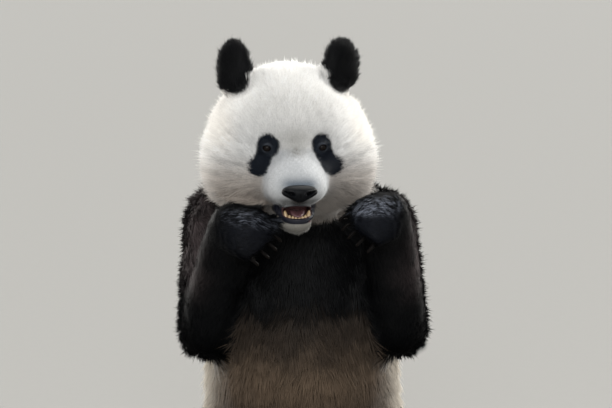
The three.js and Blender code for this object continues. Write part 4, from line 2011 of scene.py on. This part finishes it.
@dataclass
class NoseLeather:
    """The bare nose: wide and flat on top, narrow below, with two comma-shaped nostrils."""

    head: HeadFrame
    half_wide_mm: float = 35.0
    half_tall_mm: float = 18.5
    half_deep_mm: float = 19.0
    nostril_mm: tuple[float, float] = (16.5, 0.5)
    nostril_deep_mm: float = 10.0
    slit_mm: tuple[float, float] = (17.0, 3.4)
    slit_slope: float = 0.36
    shift_mm: tuple[float, float, float] = (-1.5, 2.0, 0.0)

    def build(self) -> None:
        """Models the nose in the place of its solid."""
        centre = self.head.of_solid("nose") + self.shift_mm
        bm = bmesh.new()
        bmesh.ops.create_icosphere(bm, subdivisions=6, radius=1)
        mesh = mesh_of("nose_leather", bm)
        x, y, z = points_of(mesh).T
        square = np.where(z > 0, np.abs(z) ** 0.66 * 0.88, z)
        wide = self.half_wide_mm * (0.54 + 0.46 * rise(-0.95, 0.1, z))
        rows = np.stack([x * wide, y * self.half_deep_mm, square * self.half_tall_mm], axis=1)
        rows[:, 1] += 3.5 * rise(0.0, 1.0, z) * rise(0, -1, y)
        front = rise(0.1, -0.3, y)
        aside, high = self.nostril_mm
        past = np.abs(rows[:, 0]) - aside
        round_hole = np.hypot(past / 5.2, (rows[:, 2] - high - 0.2 * past) / 3.5)
        long, thick = self.slit_mm
        gape = thick * np.clip(1 - past / long, 0.12, 1)
        slit = np.abs(rows[:, 2] - high - self.slit_slope * past) / gape
        tail = rise(1.3, 0.5, slit) * rise(-3.0, 2.0, past) * rise(long, long - 4, past)
        hole = np.maximum(rise(1.25, 0.55, round_hole), 0.75 * tail)
        rows[:, 1] += self.nostril_deep_mm * hole * front
        ring = np.exp(-(((round_hole - 1.5) / 0.35) ** 2))
        rows[:, 1] -= 1.3 * ring * front
        groove = np.exp(-((rows[:, 0] / 1.6) ** 2)) * rise(1.0, -4.0, rows[:, 2]) * front
        rows[:, 1] += 2.4 * groove
        place_points(mesh, self.head.outside(rows + centre))
        material = MoistLeather("moist_nose_leather", "#050608", "#0b0d11", 0.42, 1.5, 0.35, 0.12).make()
        finish_piece("nose_leather", mesh, material, "nose_leather", "nose")


@dataclass(frozen=True)
class ToothEnamel(Finish):
    """Tooth enamel with old tartar: glossy and ivory at the tips, tan towards the gum."""

    name: str = "worn_tooth_enamel"
    tip: str = "#c3a77e"
    root: str = "#7d5c3c"
    stain_mm: float = 1.0 / 0.6

    def surface(self, tree: Tree) -> dict:
        """Stains the tooth towards the gum.

        Args:
            tree: The material's node tree.

        Returns:
            The inputs by name.
        """
        stain = self.grain(tree, self.stain_mm, 3.0)
        inputs = {0: self.painted(tree, "rise").outputs["Fac"], 1: stain}
        age = add(tree, "ShaderNodeMath", inputs, operation="ADD").outputs[0]
        lift = self.spread(tree, age, from_min=0.55, from_max=1.15)
        return {"Base Color": self.blend(tree, lift, self.root, self.tip), "Roughness": 0.28, "IOR": 1.62}


@dataclass(frozen=True)
class WetFlesh(Finish):
    """Wet flesh of tongue and gum: soft, dark and shiny, with small raised buds."""

    name: str = "wet_tongue_flesh"
    deep: str = "#50343a"
    pale: str = "#7d5a5c"
    bud_mm: float = 1.6

    def surface(self, tree: Tree) -> dict:
        """Raises and pales the buds.

        Args:
            tree: The material's node tree.

        Returns:
            The inputs by name.
        """
        buds = self.grain(tree, self.bud_mm, 2.0)
        return {
            "Base Color": self.blend(tree, buds, self.deep, self.pale),
            "Normal": self.relief(tree, buds, 0.6, 0.0006),
            "Roughness": 0.3,
            "Coat Weight": 0.5,
            "Coat Roughness": 0.12,
        }


@dataclass
class Mouth:
    """Lower teeth, gum and tongue."""

    head: HeadFrame
    pitch_mm: float = 5.8
    incisors: int = 6
    row_y_mm: float = -161.0
    row_z_mm: float = -103.1
    incisor_mm: tuple[float, float] = (3.1, 14.5)
    canine_at_mm: tuple[float, float, float] = (20.4, -151.2, -101.6)
    canine_mm: tuple[float, float] = (5.2, 21.0)
    facets: int = 12
    rings: int = 5
    gum_mm: tuple[float, float] = (23.0, 5.0)
    gum_flat: tuple[float, float, float] = (1.0, 0.62, 0.8)
    tongue_mm: tuple[float, float, float] = (17.0, 39.0, 8.5)

    def tooth(self, bm: BMesh, at: tuple, size: tuple, taper: float, lean: tuple, hook: float) -> list:
        """Adds one tooth.

        Args:
            bm: The mesh that it joins.
            at: Its root in the head's axes, in millimetres.
            size: Its radius at the gum, and its height.
            taper: Its radius at the tip, as a share of the first.
            lean: How far its tip leans, across and forward, as a share of the height.
            hook: How much it curves back, as a share of the height.

        Returns:
            Each new vertex's share of the height.
        """
        radius, height = size
        ends = {"radius1": radius, "radius2": radius * taper, "depth": height}
        made = bmesh.ops.create_cone(bm, cap_ends=True, segments=self.facets, **ends)["verts"]
        edges = {e for v in made for e in v.link_edges}
        sides = [e for e in edges if abs(e.verts[0].co.z - e.verts[1].co.z) > height / 2]
        bmesh.ops.subdivide_edges(bm, edges=sides, cuts=self.rings)
        bm.verts.ensure_lookup_table()
        start = len(bm.verts) - len(made) - self.facets * self.rings
        shares = []
        for vert in bm.verts[start:]:
            share = vert.co.z / height + 0.5
            round_off = math.sqrt(max(0.0, 1 - max(0.0, (share - 0.72) / 0.28) ** 2 * 0.82))
            belly = 1 + 0.12 * math.sin(math.pi * min(share / 0.8, 1))
            vert.co.x = vert.co.x * round_off * belly + lean[0] * height * share
            vert.co.y = vert.co.y * round_off * belly - lean[1] * height * share + hook * height * share**2
            vert.co.z = share * height
            vert.co += Vector(at)
            shares.append(share)
        return shares

    def build(self) -> None:
        """Models the teeth, the gum and the tongue."""
        bm = bmesh.new()
        shares: list = []
        for number in range(self.incisors):
            step = number - (self.incisors - 1) / 2
            at = (step * self.pitch_mm, self.row_y_mm + 0.7 * step**2, self.row_z_mm - 2.4 + 0.38 * step**2)
            shares += self.tooth(bm, at, self.incisor_mm, 0.95, (0.03 * step, 0.12), 0.1)
        for side in Side:
            x, y, z = self.canine_at_mm
            lean = (0.16 * side.value, 0.2)
            shares += self.tooth(bm, (x * side.value, y, z), self.canine_mm, 0.5, lean, 0.25)
        mesh = mesh_of("lower_teeth", bm)
        place_points(mesh, self.head.outside(points_of(mesh)))
        paint_values(mesh, "rise", shares)
        finish_piece("lower_teeth", mesh, ToothEnamel().make(), "claw")
        flesh = WetFlesh().make()
        self.gum(flesh)
        self.tongue(flesh)

    def gum(self, material: Material) -> None:
        """Models the ridge of gum that the lower teeth stand in.

        Args:
            material: The flesh.
        """
        arch, thick = self.gum_mm
        bm = bmesh.new()
        ring = bmesh.ops.create_circle(bm, radius=thick, segments=12)["verts"]
        bmesh.ops.rotate(bm, verts=ring, cent=(0, 0, 0), matrix=Matrix.Rotation(math.pi / 2, 3, "X"))
        bmesh.ops.translate(bm, verts=ring, vec=(arch, 0, 0))
        turn = {"cent": (0, 0, 0), "axis": (0, 0, 1), "angle": -math.pi, "steps": 28}
        bmesh.ops.spin(bm, geom=bm.edges[:] + bm.verts[:], use_merge=False, **turn)
        bmesh.ops.holes_fill(bm, edges=[e for e in bm.edges if e.is_boundary], sides=0)
        bmesh.ops.recalc_face_normals(bm, faces=bm.faces)
        mesh = mesh_of("lower_gum", bm)
        rows = points_of(mesh) * self.gum_flat
        rows += np.array([0.0, self.row_y_mm + 14.5, self.row_z_mm + 1.5])
        place_points(mesh, self.head.outside(rows))
        finish_piece("lower_gum", mesh, material, "tongue")

    def tongue(self, material: Material) -> None:
        """Models the tongue in the place of its solid.

        Args:
            material: The flesh.
        """
        centre = self.head.of_solid("tongue")
        bm = bmesh.new()
        bmesh.ops.create_uvsphere(bm, u_segments=32, v_segments=20, radius=1)
        mesh = mesh_of("tongue_flesh", bm)
        x, y, z = points_of(mesh).T
        rows = np.stack([x, y, z], axis=1) * self.tongue_mm
        rows[:, 2] -= 3.0 * np.exp(-((rows[:, 0] / 4.0) ** 2)) * rise(0.0, 0.6, z)
        rows[:, 2] += 2.5 * (x**2) * rise(0.0, 0.5, z) - 3.0 * rise(-0.5, -1.0, y)
        place_points(mesh, self.head.outside(rows + centre))
        finish_piece("tongue_flesh", mesh, material, "tongue", "tongue")


@dataclass(frozen=True)
class ClawHorn(Finish):
    """Claw horn: grown keratin with fine ridges along it, dark at the root and worn paler at the tip."""

    name: str = "worn_claw_horn"
    root: str = "#060505"
    tip: str = "#120e0c"
    ridge_mm: float = 1.2

    def surface(self, tree: Tree) -> dict:
        """Pales the horn towards its tip, over fine ridges.

        Args:
            tree: The material's node tree.

        Returns:
            The inputs by name.
        """
        ridges = self.grain(tree, self.ridge_mm, 3.0)
        return {
            "Base Color": self.blend(tree, self.painted(tree, "rise").outputs["Fac"], self.root, self.tip),
            "Normal": self.relief(tree, ridges, 0.4, 0.0004),
            "Roughness": 0.5,
            "IOR": 1.54,
            "Specular IOR Level": 0.07,
        }


@dataclass
class Claws:
    """The twenty claws, each a rounded copy of its solid, so that its place and size stay."""

    buried_mm: float = 15.0

    def build(self) -> None:
        """Models every claw."""
        material = ClawHorn().make()
        for part in ("forepaw", "hind_foot"):
            for side in SIDES:
                root = middle(f"{part}_{side}")
                for number in range(1, 6):
                    self.claw(f"{part}_{side}_claw_{number}", root, material)

    def claw(self, node: str, root: Array, material: Material) -> None:
        """Rounds a merged copy of one claw.

        Args:
            node: The claw's solid.
            root: The middle of the paw that it grows from.
            material: The horn.
        """
        bm = bmesh.new()
        bm.from_mesh(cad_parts[node].data)
        bmesh.ops.remove_doubles(bm, verts=bm.verts, dist=1e-5)
        bmesh.ops.subdivide_edges(bm, edges=bm.edges, cuts=2, use_grid_fill=True, smooth=0.6)
        smooth(bm, bm.verts, 0.4, 3)
        bmesh.ops.recalc_face_normals(bm, faces=bm.faces)
        name = node.replace("_claw_", "_horn_")
        mesh = mesh_of(name, bm)
        places = points_of(mesh)
        far = np.linalg.norm(places - root, axis=1)
        share = (far - far.min()) / max(far.max() - far.min(), 1e-6)
        sunk = rise(0.45, 0.0, share)[:, None] * self.buried_mm * MM
        place_points(mesh, places + unit(root - places) * sunk)
        paint_values(mesh, "rise", share**1.5)
        finish_piece(name, mesh, material, "claw", node)


def main() -> None:
    """Builds the model in order."""
    logging.basicConfig(level=logging.INFO, format="%(name)s: %(message)s")
    Studio().build()
    head = HeadFrame()
    skin = Skin(head, Markings(head))
    skin.build()
    Coat(skin).build()
    Eyes().build()
    NoseLeather(head).build()
    Mouth(head).build()
    Claws().build()
    leather = MoistLeather("dry_sole_leather", "#141011", "#241d1c", 0.6, 2.2, 0.5, 0.12).make()
    for side in SIDES:
        SolePads(side).build(skin, leather)


if __name__ == "__main__":
    main()
